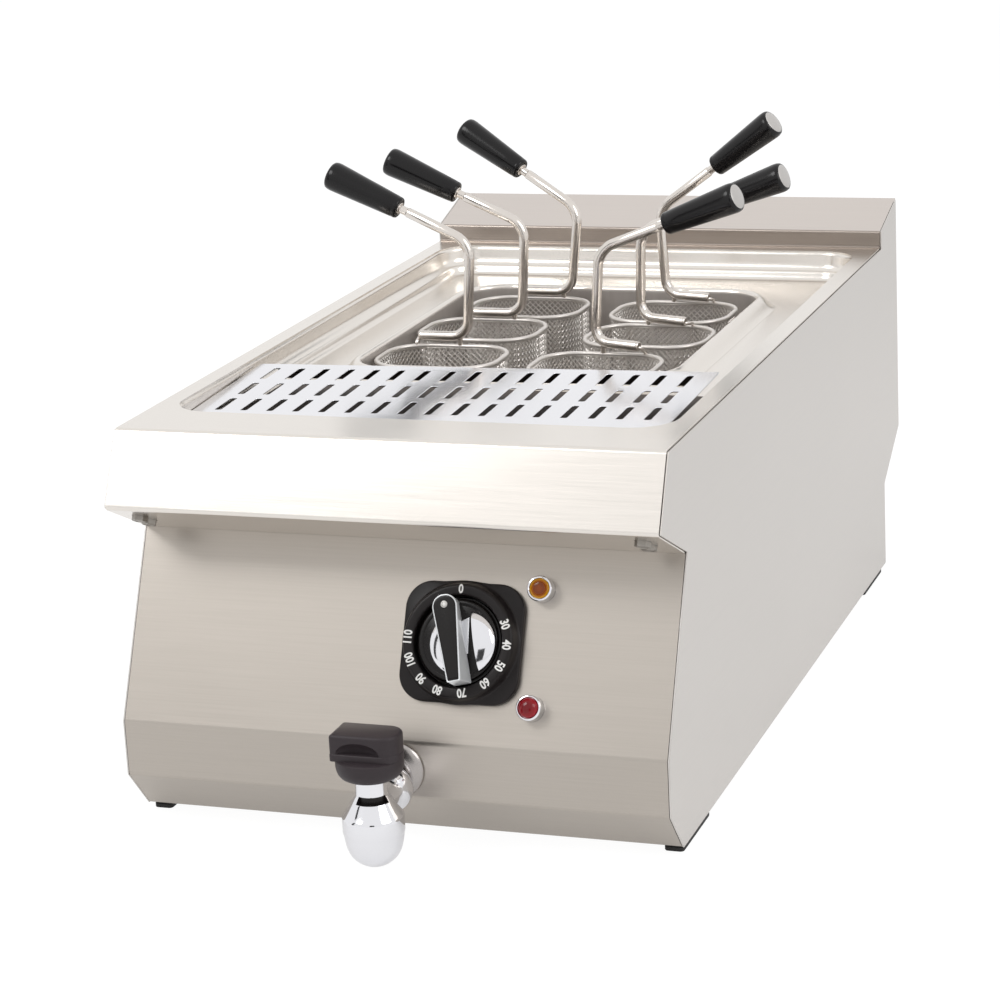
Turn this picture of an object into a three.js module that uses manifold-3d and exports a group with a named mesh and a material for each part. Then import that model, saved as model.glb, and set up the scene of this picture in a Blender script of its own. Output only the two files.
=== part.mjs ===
// Countertop pasta cooker, millimetres, Z up, front towards -Y.
// Heights below are taken from the underside of the sheet-metal body and depths from the
// worktop's front top edge; the outer group moves both to the origin under the feet.
import * as THREE from 'three';
import { mergeVertices } from 'three/addons/utils/BufferGeometryUtils.js';
import Module from 'manifold-3d';

const wasm = await Module();
wasm.setup();

// General sizes
const sheet = 1.2;
const gap = 0.3;
const slim = 0.05;
const through = 2;
const finest = 1e-4;
const whole = 2 * Math.PI;
const quarter = Math.PI / 2;
const halfShare = 0.5;
const roundSides = 24;
const smallSides = 12;
const thinSides = 8;
const bendSteps = 3;

// Body outline, depth then height
const bodyWidth = 400;
const halfWidth = bodyWidth / 2;
const innerHalf = halfWidth - sheet - gap;
const topFront = [0, 278];
const noseTip = [-25, 228.5];
const noseRoot = [35.5, 199];
const panelFoot = [-25, 72];
const bandFoot = [-25, 32];
const bottomFront = [3, 0];
const bottomRear = [658, 0];
const stepFoot = [658, 72];
const stepHead = [720, 108];
const rearTop = [720, 309];
const splashHead = [660, 293];
const splashFoot = [660, 278];
const coverDepth = 725;
const coverFoot = 228;
const foot = { height: 6, length: 73, width: 40, inset: 2, margin: 4, radius: 3 };
const rearFoot = bottomRear[0] - foot.margin - foot.length;
const tapFront = -97;

// Colours seen in the photograph
function metal(colour, roughness) {
  return new THREE.MeshStandardMaterial({ color: colour, roughness, metalness: 1 });
}
function plastic(colour, roughness) {
  return new THREE.MeshStandardMaterial({ color: colour, roughness, metalness: 0 });
}
const paleSteel = metal(0xd6d1cb, 0.38);
const sideSteel = metal(0xcfcbc7, 0.42);
const tankSteel = metal(0x8f8882, 0.45);
const wireSteel = metal(0xb9b3ab, 0.35);
const polishedSteel = metal(0xe1e1e4, 0.2);
const chromed = metal(0xdcdcdc, 0.12);
const zincPlate = metal(0x8d8880, 0.5);
const galvanised = metal(0xa9a9a6, 0.55);
const blackGloss = plastic(0x17120f, 0.28);
const blackMatt = plastic(0x1d1a18, 0.6);
const blackRubber = plastic(0x1b1a1a, 0.85);
const whitePaint = plastic(0xe9e7e3, 0.4);
const amberLens = plastic(0xe08a1c, 0.2);
const redLens = plastic(0xd0261f, 0.18);
const paleCeramic = plastic(0xd9d4c8, 0.6);

// Solids from geometries
function toSolid(geometry) {
  const bare = new THREE.BufferGeometry();
  bare.setAttribute('position', geometry.attributes.position.clone());
  if (geometry.index) bare.setIndex(geometry.index.clone());
  const merged = mergeVertices(bare, finest);
  const corners = merged.index.array;
  const kept = [];
  for (let i = 0; i < corners.length; i += 3) {
    const [a, b, c] = [corners[i], corners[i + 1], corners[i + 2]];
    if (a !== b && b !== c && c !== a) kept.push(a, b, c);
  }
  return new wasm.Manifold(new wasm.Mesh({
    numProp: 3,
    vertProperties: new Float32Array(merged.attributes.position.array),
    triVerts: new Uint32Array(kept),
  }));
}

function toGeometry(solid) {
  const mesh = solid.getMesh();
  const geometry = new THREE.BufferGeometry();
  geometry.setAttribute('position', new THREE.BufferAttribute(mesh.vertProperties, 3));
  geometry.setIndex(new THREE.BufferAttribute(mesh.triVerts, 1));
  geometry.computeVertexNormals();
  return geometry;
}

function join(...geometries) {
  return geometries.map(toSolid).reduce((sum, solid) => sum.add(solid));
}

function cut(solid, ...geometries) {
  return geometries.map(toSolid).reduce((rest, tool) => rest.subtract(tool), solid);
}

function place(parent, name, solid, material) {
  const mesh = new THREE.Mesh(toGeometry(solid), material);
  mesh.name = name;
  parent.add(mesh);
  return mesh;
}

// Shapes
function slab([x0, x1], [y0, y1], [z0, z1]) {
  const box = new THREE.BoxGeometry(x1 - x0, y1 - y0, z1 - z0);
  return box.translate((x0 + x1) / 2, (y0 + y1) / 2, (z0 + z1) / 2);
}

// A closed outline in depth and height, drawn out along X
function acrossX(outline, x0, x1) {
  const shape = new THREE.Shape(outline.map(([y, z]) => new THREE.Vector2(y, z)));
  const geometry = new THREE.ExtrudeGeometry(shape, { depth: x1 - x0, bevelEnabled: false });
  const basis = new THREE.Matrix4().makeBasis(
    new THREE.Vector3(0, 1, 0), new THREE.Vector3(0, 0, 1), new THREE.Vector3(1, 0, 0));
  return geometry.applyMatrix4(basis).translate(x0, 0, 0);
}

// The outline of a folded sheet, its thickness to the left of the way of travel
function folded(points, thickness = sheet) {
  const line = points.map(([y, z]) => new THREE.Vector2(y, z));
  const left = (from, to) => {
    const way = to.clone().sub(from).normalize();
    return new THREE.Vector2(-way.y, way.x);
  };
  const inner = line.map((point, i) => {
    const before = i > 0 ? left(line[i - 1], point) : left(point, line[i + 1]);
    const after = i < line.length - 1 ? left(point, line[i + 1]) : before;
    const mitre = before.clone().add(after).normalize();
    return point.clone().addScaledVector(mitre, thickness / mitre.dot(after));
  });
  return [...line, ...inner.reverse()].map((point) => [point.x, point.y]);
}

function roundedShape(x, y, halfX, halfY, radii) {
  const [frontLeft, frontRight, rearRight, rearLeft] = radii;
  const shape = new THREE.Shape();
  shape.moveTo(x - halfX + frontLeft, y - halfY);
  shape.lineTo(x + halfX - frontRight, y - halfY);
  shape.absarc(x + halfX - frontRight, y - halfY + frontRight, frontRight, -quarter, 0);
  shape.lineTo(x + halfX, y + halfY - rearRight);
  shape.absarc(x + halfX - rearRight, y + halfY - rearRight, rearRight, 0, quarter);
  shape.lineTo(x - halfX + rearLeft, y + halfY);
  shape.absarc(x - halfX + rearLeft, y + halfY - rearLeft, rearLeft, quarter, 2 * quarter);
  shape.lineTo(x - halfX, y - halfY + frontLeft);
  shape.absarc(x - halfX + frontLeft, y - halfY + frontLeft, frontLeft, 2 * quarter, 3 * quarter);
  return shape;
}

function upright(shape, z0, z1, curveSegments = 6) {
  const geometry = new THREE.ExtrudeGeometry(shape, { depth: z1 - z0, bevelEnabled: false, curveSegments });
  return geometry.translate(0, 0, z0);
}

function cylinder(radius, z0, z1, sides = smallSides) {
  const geometry = new THREE.CylinderGeometry(radius, radius, z1 - z0, sides);
  return geometry.rotateX(quarter).translate(0, 0, (z0 + z1) / 2);
}

// A turned profile of radius and height about Z
function turned(profile, sides = roundSides) {
  const line = profile.map(([radius, height]) => new THREE.Vector2(radius, height));
  return new THREE.LatheGeometry(line, sides).rotateX(quarter);
}

// Rings of rounded rectangles joined in order; a rising order makes an inner wall
function cornerPoint(level, turn, cornerSteps) {
  const perCorner = cornerSteps + 1;
  const count = 4 * perCorner;
  const k = ((turn % count) + count) % count;
  const corner = Math.floor(k / perCorner);
  const angle = (corner + (k % perCorner) / cornerSteps) * quarter;
  const sideX = [1, -1, -1, 1][corner];
  const sideY = [1, 1, -1, -1][corner];
  return [
    level.x + sideX * (level.halfX - level.radius) + level.radius * Math.cos(angle),
    level.y + sideY * (level.halfY - level.radius) + level.radius * Math.sin(angle),
  ];
}

function loft(levels, cornerSteps) {
  const count = 4 * (cornerSteps + 1);
  const last = levels.length - 1;
  const geometry = new THREE.CylinderGeometry(1, 1, 1, count, last);
  const at = geometry.attributes.position;
  for (let i = 0; i < at.count; i += 1) {
    const level = levels[Math.round((halfShare - at.getY(i)) * last)];
    const spread = Math.hypot(at.getX(i), at.getZ(i));
    const turn = Math.round((Math.atan2(at.getX(i), at.getZ(i)) / whole) * count);
    const [x, y] = spread < halfShare ? [level.x, level.y] : cornerPoint(level, turn, cornerSteps);
    at.setXYZ(i, x, y, level.z);
  }
  return geometry;
}

// The ring levels of one rounded rectangle, from pairs of inset and height
function ringLevels({ x, y, halfX, halfY, radius }, pairs) {
  return pairs.map(([inset, z]) => (
    { x, y, z, halfX: halfX - inset, halfY: halfY - inset, radius: radius - inset }));
}

// A path through straight runs and rounded corners, stepped from point to point
class Route extends THREE.Curve {
  constructor(stops) {
    super();
    this.stops = stops;
  }

  getPoint(t) {
    const at = Math.min(Math.max(t, 0), 1) * (this.stops.length - 1);
    const i = Math.min(Math.floor(at), this.stops.length - 2);
    return this.stops[i].clone().lerp(this.stops[i + 1], at - i);
  }

  getUtoTmapping(u) {
    return u;
  }
}

function bentPath(points, bends) {
  const corners = points.map((point) => new THREE.Vector3(...point));
  const stops = [corners[0]];
  for (let i = 1; i < corners.length - 1; i += 1) {
    const corner = corners[i];
    const entry = corner.clone().add(corners[i - 1].clone().sub(corner).setLength(bends[i - 1]));
    const exit = corner.clone().add(corners[i + 1].clone().sub(corner).setLength(bends[i - 1]));
    stops.push(...new THREE.QuadraticBezierCurve3(entry, corner, exit).getPoints(bendSteps));
  }
  return new Route([...stops, corners[corners.length - 1]]);
}

function discShape(radius, sides, bore = 0) {
  const ring = (reach) => Array.from({ length: sides }, (_, i) => new THREE.Vector2(
    reach * Math.cos((i / sides) * whole), reach * Math.sin((i / sides) * whole)));
  const shape = new THREE.Shape(ring(radius));
  if (bore > 0) shape.holes.push(new THREE.Path(ring(bore)));
  return shape;
}

function rodAlong(route, radius, sides = thinSides, bore = 0) {
  const steps = route.stops.length - 1;
  return new THREE.ExtrudeGeometry(discShape(radius, sides, bore), { steps, extrudePath: route });
}

// A narrow slot with blunt ends, along Y
function slotPath(x, y, halfX, halfY) {
  return new THREE.Path([[halfX, -halfY + halfX], [halfX, halfY - halfX], [0, halfY],
    [-halfX, halfY - halfX], [-halfX, -halfY + halfX], [0, -halfY]]
    .map(([across, up]) => new THREE.Vector2(x + across, y + up)));
}

// The whole cooker, centred over its feet
const cooker = new THREE.Group();
cooker.position.set(0, -(tapFront + coverDepth) / 2, foot.height);
const group = new THREE.Group();
group.add(cooker);

// Side panels, with a flange folded in under the base
const sideOutline = [topFront, noseTip, noseRoot, panelFoot, bandFoot, bottomFront, bottomRear,
  stepFoot, stepHead, rearTop, splashHead, splashFoot];
const rearLip = 18;
const returnReach = 24;
const sideFlange = { width: 15, front: returnReach + gap, rear: bottomRear[0] - rearLip - 0.5 };
for (const [name, side] of [['side_panel_left', -1], ['side_panel_right', 1]]) {
  const outer = side * halfWidth;
  const inner = side * (halfWidth - sheet);
  const lip = side * (halfWidth - sideFlange.width);
  const spread = (a, b) => [Math.min(a, b), Math.max(a, b)];
  place(cooker, name, join(
    acrossX(sideOutline, ...spread(outer, inner)),
    slab(spread(outer, lip), [sideFlange.front, sideFlange.rear], [0, sheet])), sideSteel);
}

// Worktop: the pressed top with its two-step recess, the nose and its undercut
const unitUp = (from, to) => {
  const way = new THREE.Vector2(to[0] - from[0], to[1] - from[1]).normalize();
  return [way.x, way.y];
};
const along = (point, way, distance) => [point[0] + way[0] * distance, point[1] + way[1] * distance];
const underWay = unitUp(noseTip, noseRoot);
const underUp = [-underWay[1], underWay[0]];
const rearFold = { depth: splashFoot[0] - gap, drop: 15 };
const rearFoldFoot = splashFoot[1] - rearFold.drop;
const rim = { side: 17, front: 53, rear: 20, radius: 29 };
const recessRear = splashFoot[0] - rim.rear;
const recess = { x: 0, y: (rim.front + recessRear) / 2, halfX: halfWidth - rim.side,
  halfY: (recessRear - rim.front) / 2, radius: rim.radius };
const recessInside = [[0, 279], [0, 277.6], [1, 270], [3.6, 266], [7.2, 263], [8.8, 259],
  [13.5, 256]];
const recessOutside = [[-1.2, 277.2], [-0.2, 269.6], [2.6, 265.2], [6.4, 262], [8, 258.2],
  [13, 254.8]];
const wellMargin = 57.5;
const well = { x: 0, y: 399, halfX: recess.halfX - wellMargin, halfY: 147, radius: 33 };
const floorTop = 256;
const floorBottom = 254.8;
const boltHole = 2.9;
const boltInset = 18;
const boltReaches = [46.3, 31.3];
const boltSpots = [-1, 1].flatMap((side) => (
  boltReaches.map((reach) => ({ x: side * (halfWidth - boltInset), reach }))));
const undercut = new THREE.Matrix4().makeRotationX(Math.PI + Math.atan2(underWay[1], underWay[0]))
  .setPosition(0, ...noseRoot);
const recessSteps = 4;
const worktopSheet = folded([
  [rearFold.depth, rearFoldFoot], [rearFold.depth, topFront[1]], topFront, noseTip,
  along(noseRoot, underWay, -gap)]);
const boltCutters = boltSpots.map(({ x, reach }) => (
  cylinder(boltHole, -3 * through, through).translate(x, reach, 0).applyMatrix4(undercut)));
place(cooker, 'worktop', cut(
  join(
    cutAway(acrossX(worktopSheet, -innerHalf, innerHalf), recess, recessInside),
    loft(ringLevels(recess, recessOutside), recessSteps)),
  loft(ringLevels(recess, recessInside), recessSteps),
  loft(ringLevels(well, [[-sheet - gap, floorTop + through], [-sheet - gap, floorBottom - through]]),
    recessSteps),
  ...boltCutters), paleSteel);

// A sheet with the top of the recess already opened in it
function cutAway(geometry, outline, pairs) {
  const [first] = pairs;
  const opening = loft(ringLevels(outline, [first, [first[0], rearFoldFoot]]), recessSteps);
  return toGeometry(cut(toSolid(geometry), opening));
}

// Control panel: fixing flange in the nose, sloping face, tap band, chamfer and return
const flangeReach = 52;
const panelHead = along(noseRoot, underUp, sheet + gap);
const panelSheet = folded([
  along(panelHead, underWay, -flangeReach), panelHead, panelFoot, bandFoot, bottomFront,
  [returnReach, 0]]);
const panelWay = unitUp(panelFoot, noseRoot);
const panelSlope = Math.atan2(panelWay[1], panelWay[0]);
const dialSpot = along(noseRoot, panelWay, -70.5);
const dialInset = 152;
const dialX = halfWidth - dialInset;
const panelFrame = new THREE.Matrix4().makeRotationX(panelSlope).setPosition(dialX, ...dialSpot);
const lampSpots = { x: 53.5, amber: 39.5, red: -41.5 };
const spindleHole = 5;
const lampHole = 6;
const tap = { x: 5.5, y: -72, z: 52 };
const drainHole = 9.8;
const alongY = (geometry, x, y, z) => geometry.rotateX(quarter).translate(x, y, z);
place(cooker, 'control_panel', cut(
  join(acrossX(panelSheet, -innerHalf, innerHalf)),
  cylinder(spindleHole, -3 * through, through).applyMatrix4(panelFrame),
  cylinder(lampHole, -3 * through, through).translate(lampSpots.x, lampSpots.amber, 0)
    .applyMatrix4(panelFrame),
  cylinder(lampHole, -3 * through, through).translate(lampSpots.x, lampSpots.red, 0)
    .applyMatrix4(panelFrame),
  alongY(cylinder(drainHole, -3 * through, through), tap.x, bandFoot[0], tap.z),
  ...boltCutters), paleSteel);

// Back panel with the lower step, louvre slots and the hole for the supply cable
const gland = { x: 80 - halfWidth, z: 40, hole: 8.4, neck: 8, nut: 12 };
const louvre = { count: 6, pitch: 24, side: 130, halfHeight: 3, low: 130 };
const backSheet = folded([
  [bottomRear[0] - rearLip, 0], bottomRear, stepFoot, stepHead, [stepHead[0], rearTop[1] - 2.2]]);
const louvres = Array.from({ length: louvre.count }, (_, i) => {
  const z = louvre.low + i * louvre.pitch;
  return slab([louvre.side - halfWidth, halfWidth - louvre.side],
    [stepHead[0] - 2 * through, stepHead[0] + through],
    [z - louvre.halfHeight, z + louvre.halfHeight]);
});
place(cooker, 'back_panel', cut(
  join(acrossX(backSheet, -innerHalf, innerHalf)),
  alongY(cylinder(gland.hole, -through, 2 * through), gland.x, stepFoot[0], gland.z),
  ...louvres.slice(0, 4)), galvanised);

// Splashback strip: bead, upright strip, sloping top and the cover turned down behind
const topWay = unitUp(splashHead, rearTop);
const coverTop = along(splashHead, topWay, (coverDepth - splashHead[0]) / topWay[0]);
const splashSheet = folded([
  [rearTop[0] + gap, coverFoot], [coverDepth, coverFoot], coverTop, splashHead,
  [splashFoot[0], rearFoldFoot]]);
const bead = { front: 658.9, height: 2.5 };
place(cooker, 'splashback', join(
  acrossX(splashSheet, -innerHalf, innerHalf),
  slab([-innerHalf, innerHalf], [bead.front, splashFoot[0] + slim],
    [splashFoot[1] + gap, splashFoot[1] + gap + bead.height])), paleSteel);

// Base pan with ventilation slots
const vent = { count: 7, pitch: 34, halfX: 4, halfY: 60, y: 420 };
const panHalf = halfWidth - sideFlange.width - gap;
const pan = roundedShape(0, (sideFlange.front + sideFlange.rear) / 2, panHalf,
  (sideFlange.rear - sideFlange.front) / 2, [1, 1, 1, 1]);
for (let i = 0; i < vent.count; i += 1) {
  const x = (i - (vent.count - 1) / 2) * vent.pitch;
  pan.holes.push(slotPath(x, vent.y, vent.halfX, vent.halfY));
}
place(cooker, 'base_pan', join(upright(pan, 0, sheet, 1)), galvanised);

// Feet
const feet = [['foot_front_left', -1, foot.margin], ['foot_front_right', 1, foot.margin],
  ['foot_rear_left', -1, rearFoot], ['foot_rear_right', 1, rearFoot]];
for (const [name, side, front] of feet) {
  const x = side * (halfWidth - foot.inset - foot.width / 2);
  const shape = roundedShape(x, front + foot.length / 2, foot.width / 2, foot.length / 2,
    Array(4).fill(foot.radius));
  place(cooker, name, join(upright(shape, -foot.height, 0, 2)), blackRubber);
}

// Well tank: pressed vessel with its raised bead on the worktop floor
const tankFloor = 75;
const tankWall = [[7.5, tankFloor], [0, 83], [0, 262], [-1.6, 264.6], [-4, 265.5],
  [-6.4, 264.4], [-7.8, 261], [-7.8, floorTop], [-sheet, floorTop], [-sheet, 82.4],
  [6.8, tankFloor - sheet]];
const tankFront = well.y - well.halfY;
const outletSpot = { x: 5.5, y: tankFront + 38 };
const pipe = { radius: 9, bore: 7.2, clear: 9.4 };
const element = { radius: 4.2, hole: 4.6, z: 90, x: 22, bend: 17, far: well.halfX - 33.5,
  near: tankFront + 34, back: well.y + well.halfY - 34, pin: tankFront - 26 };
const bulb = { radius: 3, hole: 3.4, x: -62, z: 100.5, tip: tankFront + 108,
  tail: tankFront - 12 };
const frontCutter = (radius, x, z) => (
  alongY(cylinder(radius, -3 * through, 3 * through), x, tankFront, z));
place(cooker, 'well_tank', cut(
  join(loft(ringLevels(well, tankWall), recessSteps)),
  cylinder(pipe.clear, tankFloor - 2 * through, tankFloor + through)
    .translate(outletSpot.x, outletSpot.y, 0),
  frontCutter(element.hole, -element.x, element.z),
  frontCutter(element.hole, element.x, element.z),
  frontCutter(bulb.hole, bulb.x, bulb.z)), tankSteel);

// Drain pipe from the tank floor to the tap
const drainPath = bentPath([
  [outletSpot.x, outletSpot.y, tankFloor], [outletSpot.x, outletSpot.y, tap.z],
  [tap.x, bandFoot[0] - 4, tap.z]], [18]);
place(cooker, 'drain_pipe', join(rodAlong(drainPath, pipe.radius, smallSides, pipe.bore)),
  wireSteel);

// Heating element loop and its flange on the tank's front wall
const elementPath = bentPath([
  [-element.x, element.pin, element.z], [-element.x, element.near, element.z],
  [-element.far, element.near, element.z], [-element.far, element.back, element.z],
  [element.far, element.back, element.z], [element.far, element.near, element.z],
  [element.x, element.near, element.z], [element.x, element.pin, element.z],
], Array(6).fill(element.bend));
place(cooker, 'heating_element', join(rodAlong(elementPath, element.radius)), wireSteel);
const flange = { halfX: 42, halfZ: 16, thick: 3 };
const flangeFace = tankFront - sheet - gap;
place(cooker, 'element_flange', cut(
  join(slab([-flange.halfX, flange.halfX], [flangeFace - flange.thick, flangeFace],
    [element.z - flange.halfZ, element.z + flange.halfZ])),
  frontCutter(element.hole, -element.x, element.z),
  frontCutter(element.hole, element.x, element.z)), zincPlate);

// Raised grid that the baskets stand on
const grid = { top: 108, halfX: well.halfX - 12.5, halfY: well.halfY - 12, radius: 3, columns: 6,
  rows: 3, slotHalfX: 9, bar: 8 };
const gridSlotHalfY = (grid.halfY - grid.slotHalfX) / grid.rows - grid.bar;
const gridShape = roundedShape(well.x, well.y, grid.halfX, grid.halfY, Array(4).fill(grid.radius));
for (let column = 0; column < grid.columns; column += 1) {
  for (let row = 0; row < grid.rows; row += 1) {
    const x = ((column + halfShare) / grid.columns - halfShare) * 2 * (grid.halfX - grid.slotHalfX);
    const y = well.y + ((row + halfShare) / grid.rows - halfShare) * 2 * (grid.halfY - grid.slotHalfX);
    gridShape.holes.push(slotPath(x, y, grid.slotHalfX, gridSlotHalfY));
  }
}
const skirt = (side) => slab(
  [side * grid.halfX, side * (grid.halfX - sheet)].sort((a, b) => a - b),
  [well.y - grid.halfY + 4 * grid.radius, well.y + grid.halfY - 4 * grid.radius],
  [tankFloor, grid.top - sheet + slim]);
place(cooker, 'basket_grid', join(
  upright(gridShape, grid.top - sheet, grid.top, 2), skirt(-1), skirt(1)), tankSteel);

// Perforated drip plate, lying slightly askew in the front of the recess
const plate = { x: -1.2, y: 144.2, z: 275, halfX: recess.halfX - 3.8, front: -88, rear: 66, thick: 1.5,
  corner: 26, rearCorner: 2, tip: 2.06, lean: -0.85, turn: -0.42 };
const slot = { columns: 17, rows: 3, sideMargin: 18.4, endMargin: 36.6, halfX: 2.6, halfY: 15 };
const slotPitch = {
  x: (2 * (plate.halfX - slot.sideMargin)) / (slot.columns - 1),
  y: (plate.rear - plate.front - 2 * slot.endMargin) / (slot.rows - 1),
};
const plateGroup = new THREE.Group();
plateGroup.position.set(plate.x, plate.y, plate.z);
plateGroup.rotation.set(...[plate.tip, plate.lean, plate.turn].map(THREE.MathUtils.degToRad), 'ZYX');
cooker.add(plateGroup);
const plateShape = roundedShape(0, (plate.front + plate.rear) / 2, plate.halfX,
  (plate.rear - plate.front) / 2,
  [plate.corner, plate.corner, plate.rearCorner, plate.rearCorner]);
for (let column = 0; column < slot.columns; column += 1) {
  for (let row = 0; row < slot.rows; row += 1) {
    const x = (column - (slot.columns - 1) / 2) * slotPitch.x;
    const y = (row - (slot.rows - 1) / 2) * slotPitch.y;
    plateShape.holes.push(slotPath(x, y, slot.halfX, slot.halfY));
  }
}
place(plateGroup, 'drip_plate', join(upright(plateShape, -plate.thick, 0, 5)), polishedSteel);

// Baskets: thin cups with a rim wire, each with a rod handle and a grip
const basketGap = { centre: 16, wall: 11.5, row: 12, front: 29, rear: 19 };
const basket = {
  halfX: (well.halfX - basketGap.centre - basketGap.wall) / 2,
  halfY: (2 * (well.halfY - basketGap.row) - basketGap.front - basketGap.rear) / 6,
  radius: 28,
  rim: 258,
};
const basketX = basketGap.centre + basket.halfX;
const middleRow = well.y + (basketGap.front - basketGap.rear) / 2;
const rowPitch = 2 * basket.halfY + basketGap.row;
const rows = { front: middleRow - rowPitch, middle: middleRow, rear: middleRow + rowPitch };
const cupWall = [[10, 109.4], [3.4, 113.2], [0.6, 256.4], [2, 257.6], [1.6, 259.4],
  [-1.6, 259.4], [-2, 257.6], [-0.6, 256.4], [2.2, 113], [9.4, grid.top]];
const rod = { radius: 4, rise: 7, outer: basket.halfX - 24, inner: -17, bendRadius: 13, stand: 73, reach: 63,
  entry: 15, prong: 2.2, seat: 1.45 };
const rodHeight = basket.rim + rod.rise;
const collar = { radius: 6, length: 7 };
const grip = { length: 64.5, bore: 4.3 };
const gripProfile = [[0, rod.entry + gap], [grip.bore, rod.entry + gap], [grip.bore, 0], [7.6, 0],
  [8.5, 1.4], [9, 8], [11, 50], [11.6, 58], [11.4, 61.5], [10, 64], [0, grip.length + 1]];
const baskets = [
  { place: 'front_left', side: -1, y: rows.front, lift: 26, swing: 0 },
  { place: 'middle_left', side: -1, y: rows.middle, lift: 26.5, swing: 0 },
  { place: 'rear_left', side: -1, y: rows.rear, lift: 36, swing: 0 },
  { place: 'front_right', side: 1, y: rows.front, lift: 22, swing: -2 },
  { place: 'middle_right', side: 1, y: rows.middle, lift: 24, swing: -2.5 },
  { place: 'rear_right', side: 1, y: rows.rear, lift: 37.5, swing: -2 },
];
for (const item of baskets) {
  const spot = new THREE.Group();
  spot.position.set(item.side * basketX, item.y, 0);
  cooker.add(spot);
  place(spot, `basket_${item.place}`, join(
    loft(ringLevels({ x: 0, y: 0, ...basket }, cupWall), 4)), wireSteel);

  // The rod runs over the rear rim, stands up at its inner end and leans out to the grip
  const side = item.side;
  const lift = THREE.MathUtils.degToRad(item.lift);
  const swing = THREE.MathUtils.degToRad(item.swing);
  const way = new THREE.Vector3(side * Math.cos(lift) * Math.cos(swing),
    Math.cos(lift) * Math.sin(swing), Math.sin(lift));
  const head = new THREE.Vector3(side * rod.inner, basket.halfY, rodHeight + rod.stand);
  const gripStart = head.clone().addScaledVector(way, rod.reach);
  const rodEnd = gripStart.clone().addScaledVector(way, rod.entry);
  const rodPath = bentPath([
    [side * rod.outer, basket.halfY, rodHeight], [side * rod.inner, basket.halfY, rodHeight],
    head.toArray(), rodEnd.toArray()], [rod.bendRadius, rod.bendRadius]);
  const toWay = new THREE.Quaternion().setFromUnitVectors(new THREE.Vector3(0, 0, 1), way);
  const prongs = [rod.outer - 2 * rod.prong, rod.inner + 3 * rod.prong].map((x) => (
    cylinder(rod.prong, basket.rim + rod.seat, rodHeight, 6)
      .translate(side * x, basket.halfY, 0)));
  const neck = cylinder(collar.radius, -collar.length - gap, -gap, thinSides)
    .applyQuaternion(toWay).translate(...gripStart.toArray());
  place(spot, `handle_${item.place}`, join(rodAlong(rodPath, rod.radius), neck, ...prongs),
    wireSteel);
  place(spot, `grip_${item.place}`, join(
    turned(gripProfile, 14).applyQuaternion(toWay).translate(...gripStart.toArray())), blackGloss);
}

// Dial, knob and lamps, in a frame lying on the sloping panel with Z outwards
const panelGroup = new THREE.Group();
panelGroup.position.set(dialX, ...dialSpot);
panelGroup.rotation.x = panelSlope;
cooker.add(panelGroup);

const dial = { halfX: 43, halfY: 41.5, radius: 19, edge: 5, face: 14, rim: 41.2, well: 31.4,
  floor: 2.2 };
const bezelBase = ringLevels({ x: 0, y: 0, ...dial }, [[3, dial.edge], [0, dial.edge - 2], [0, gap]]);
const bezelRing = [[0, gap], [dial.rim, gap], [dial.rim, dial.face - 2.4],
  [dial.rim - 1.2, dial.face - 0.4], [dial.rim - 2.6, dial.face], [0, dial.face]];
place(panelGroup, 'dial_bezel', cut(
  join(loft(bezelBase, 5), turned(bezelRing, 30)),
  cylinder(dial.well, dial.floor, dial.face + through, 30),
  cylinder(spindleHole, -through, dial.floor + through)), blackMatt);

const thermostat = { half: 22, back: -42, spindle: 3, spindleTip: 11 };
place(panelGroup, 'thermostat_body', join(
  upright(roundedShape(0, 0, thermostat.half, thermostat.half, [3, 3, 3, 3]),
    thermostat.back, -sheet - gap, 2),
  cylinder(thermostat.spindle, -through - sheet, thermostat.spindleTip)), galvanised);

// Knob: skirt and grip bar in one, two bright lens domes and the pointer spot
const knob = { skirt: 30.3, base: 3, top: 13, barTop: 32, barHalf: 9.5, footHalf: 8, reach: 30,
  bevel: 1.2, rest: 13 };
const knobGroup = new THREE.Group();
knobGroup.rotation.z = THREE.MathUtils.degToRad(knob.rest);
panelGroup.add(knobGroup);
const skirtProfile = [[0, knob.base], [knob.skirt, knob.base], [knob.skirt, knob.top - 2],
  [knob.skirt - 1.6, knob.top], [0, knob.top]];
const barShape = new THREE.Shape();
barShape.moveTo(-knob.footHalf, -knob.reach);
barShape.lineTo(knob.footHalf, -knob.reach);
barShape.lineTo(knob.barHalf, knob.reach - knob.barHalf);
barShape.absarc(0, knob.reach - knob.barHalf, knob.barHalf, 0, 2 * quarter);
const bar = new THREE.ExtrudeGeometry(barShape, {
  depth: knob.barTop - knob.top, curveSegments: 10, bevelSize: -knob.bevel, bevelSegments: 2,
  bevelThickness: knob.bevel, bevelOffset: 0,
}).translate(0, 0, knob.top - knob.bevel);
const pointer = { radius: 2.4, depth: 1.2, y: knob.reach - 7 };
const knobBore = cylinder(thermostat.spindle + gap, knob.base - through, thermostat.spindleTip + gap);
place(knobGroup, 'knob', cut(
  join(turned(skirtProfile, 30), bar),
  knobBore,
  cylinder(pointer.radius + gap, knob.barTop - pointer.depth, knob.barTop + through)
    .translate(0, pointer.y, 0)), blackGloss);
place(knobGroup, 'knob_pointer', join(
  cylinder(pointer.radius, knob.barTop - pointer.depth + slim, knob.barTop + pointer.depth / 4)
    .translate(0, pointer.y, 0)), whitePaint);
const dome = { x: 8.2, y: -1.4, radius: 20.3, height: 7, inner: 11.3, base: knob.top + slim };
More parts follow.
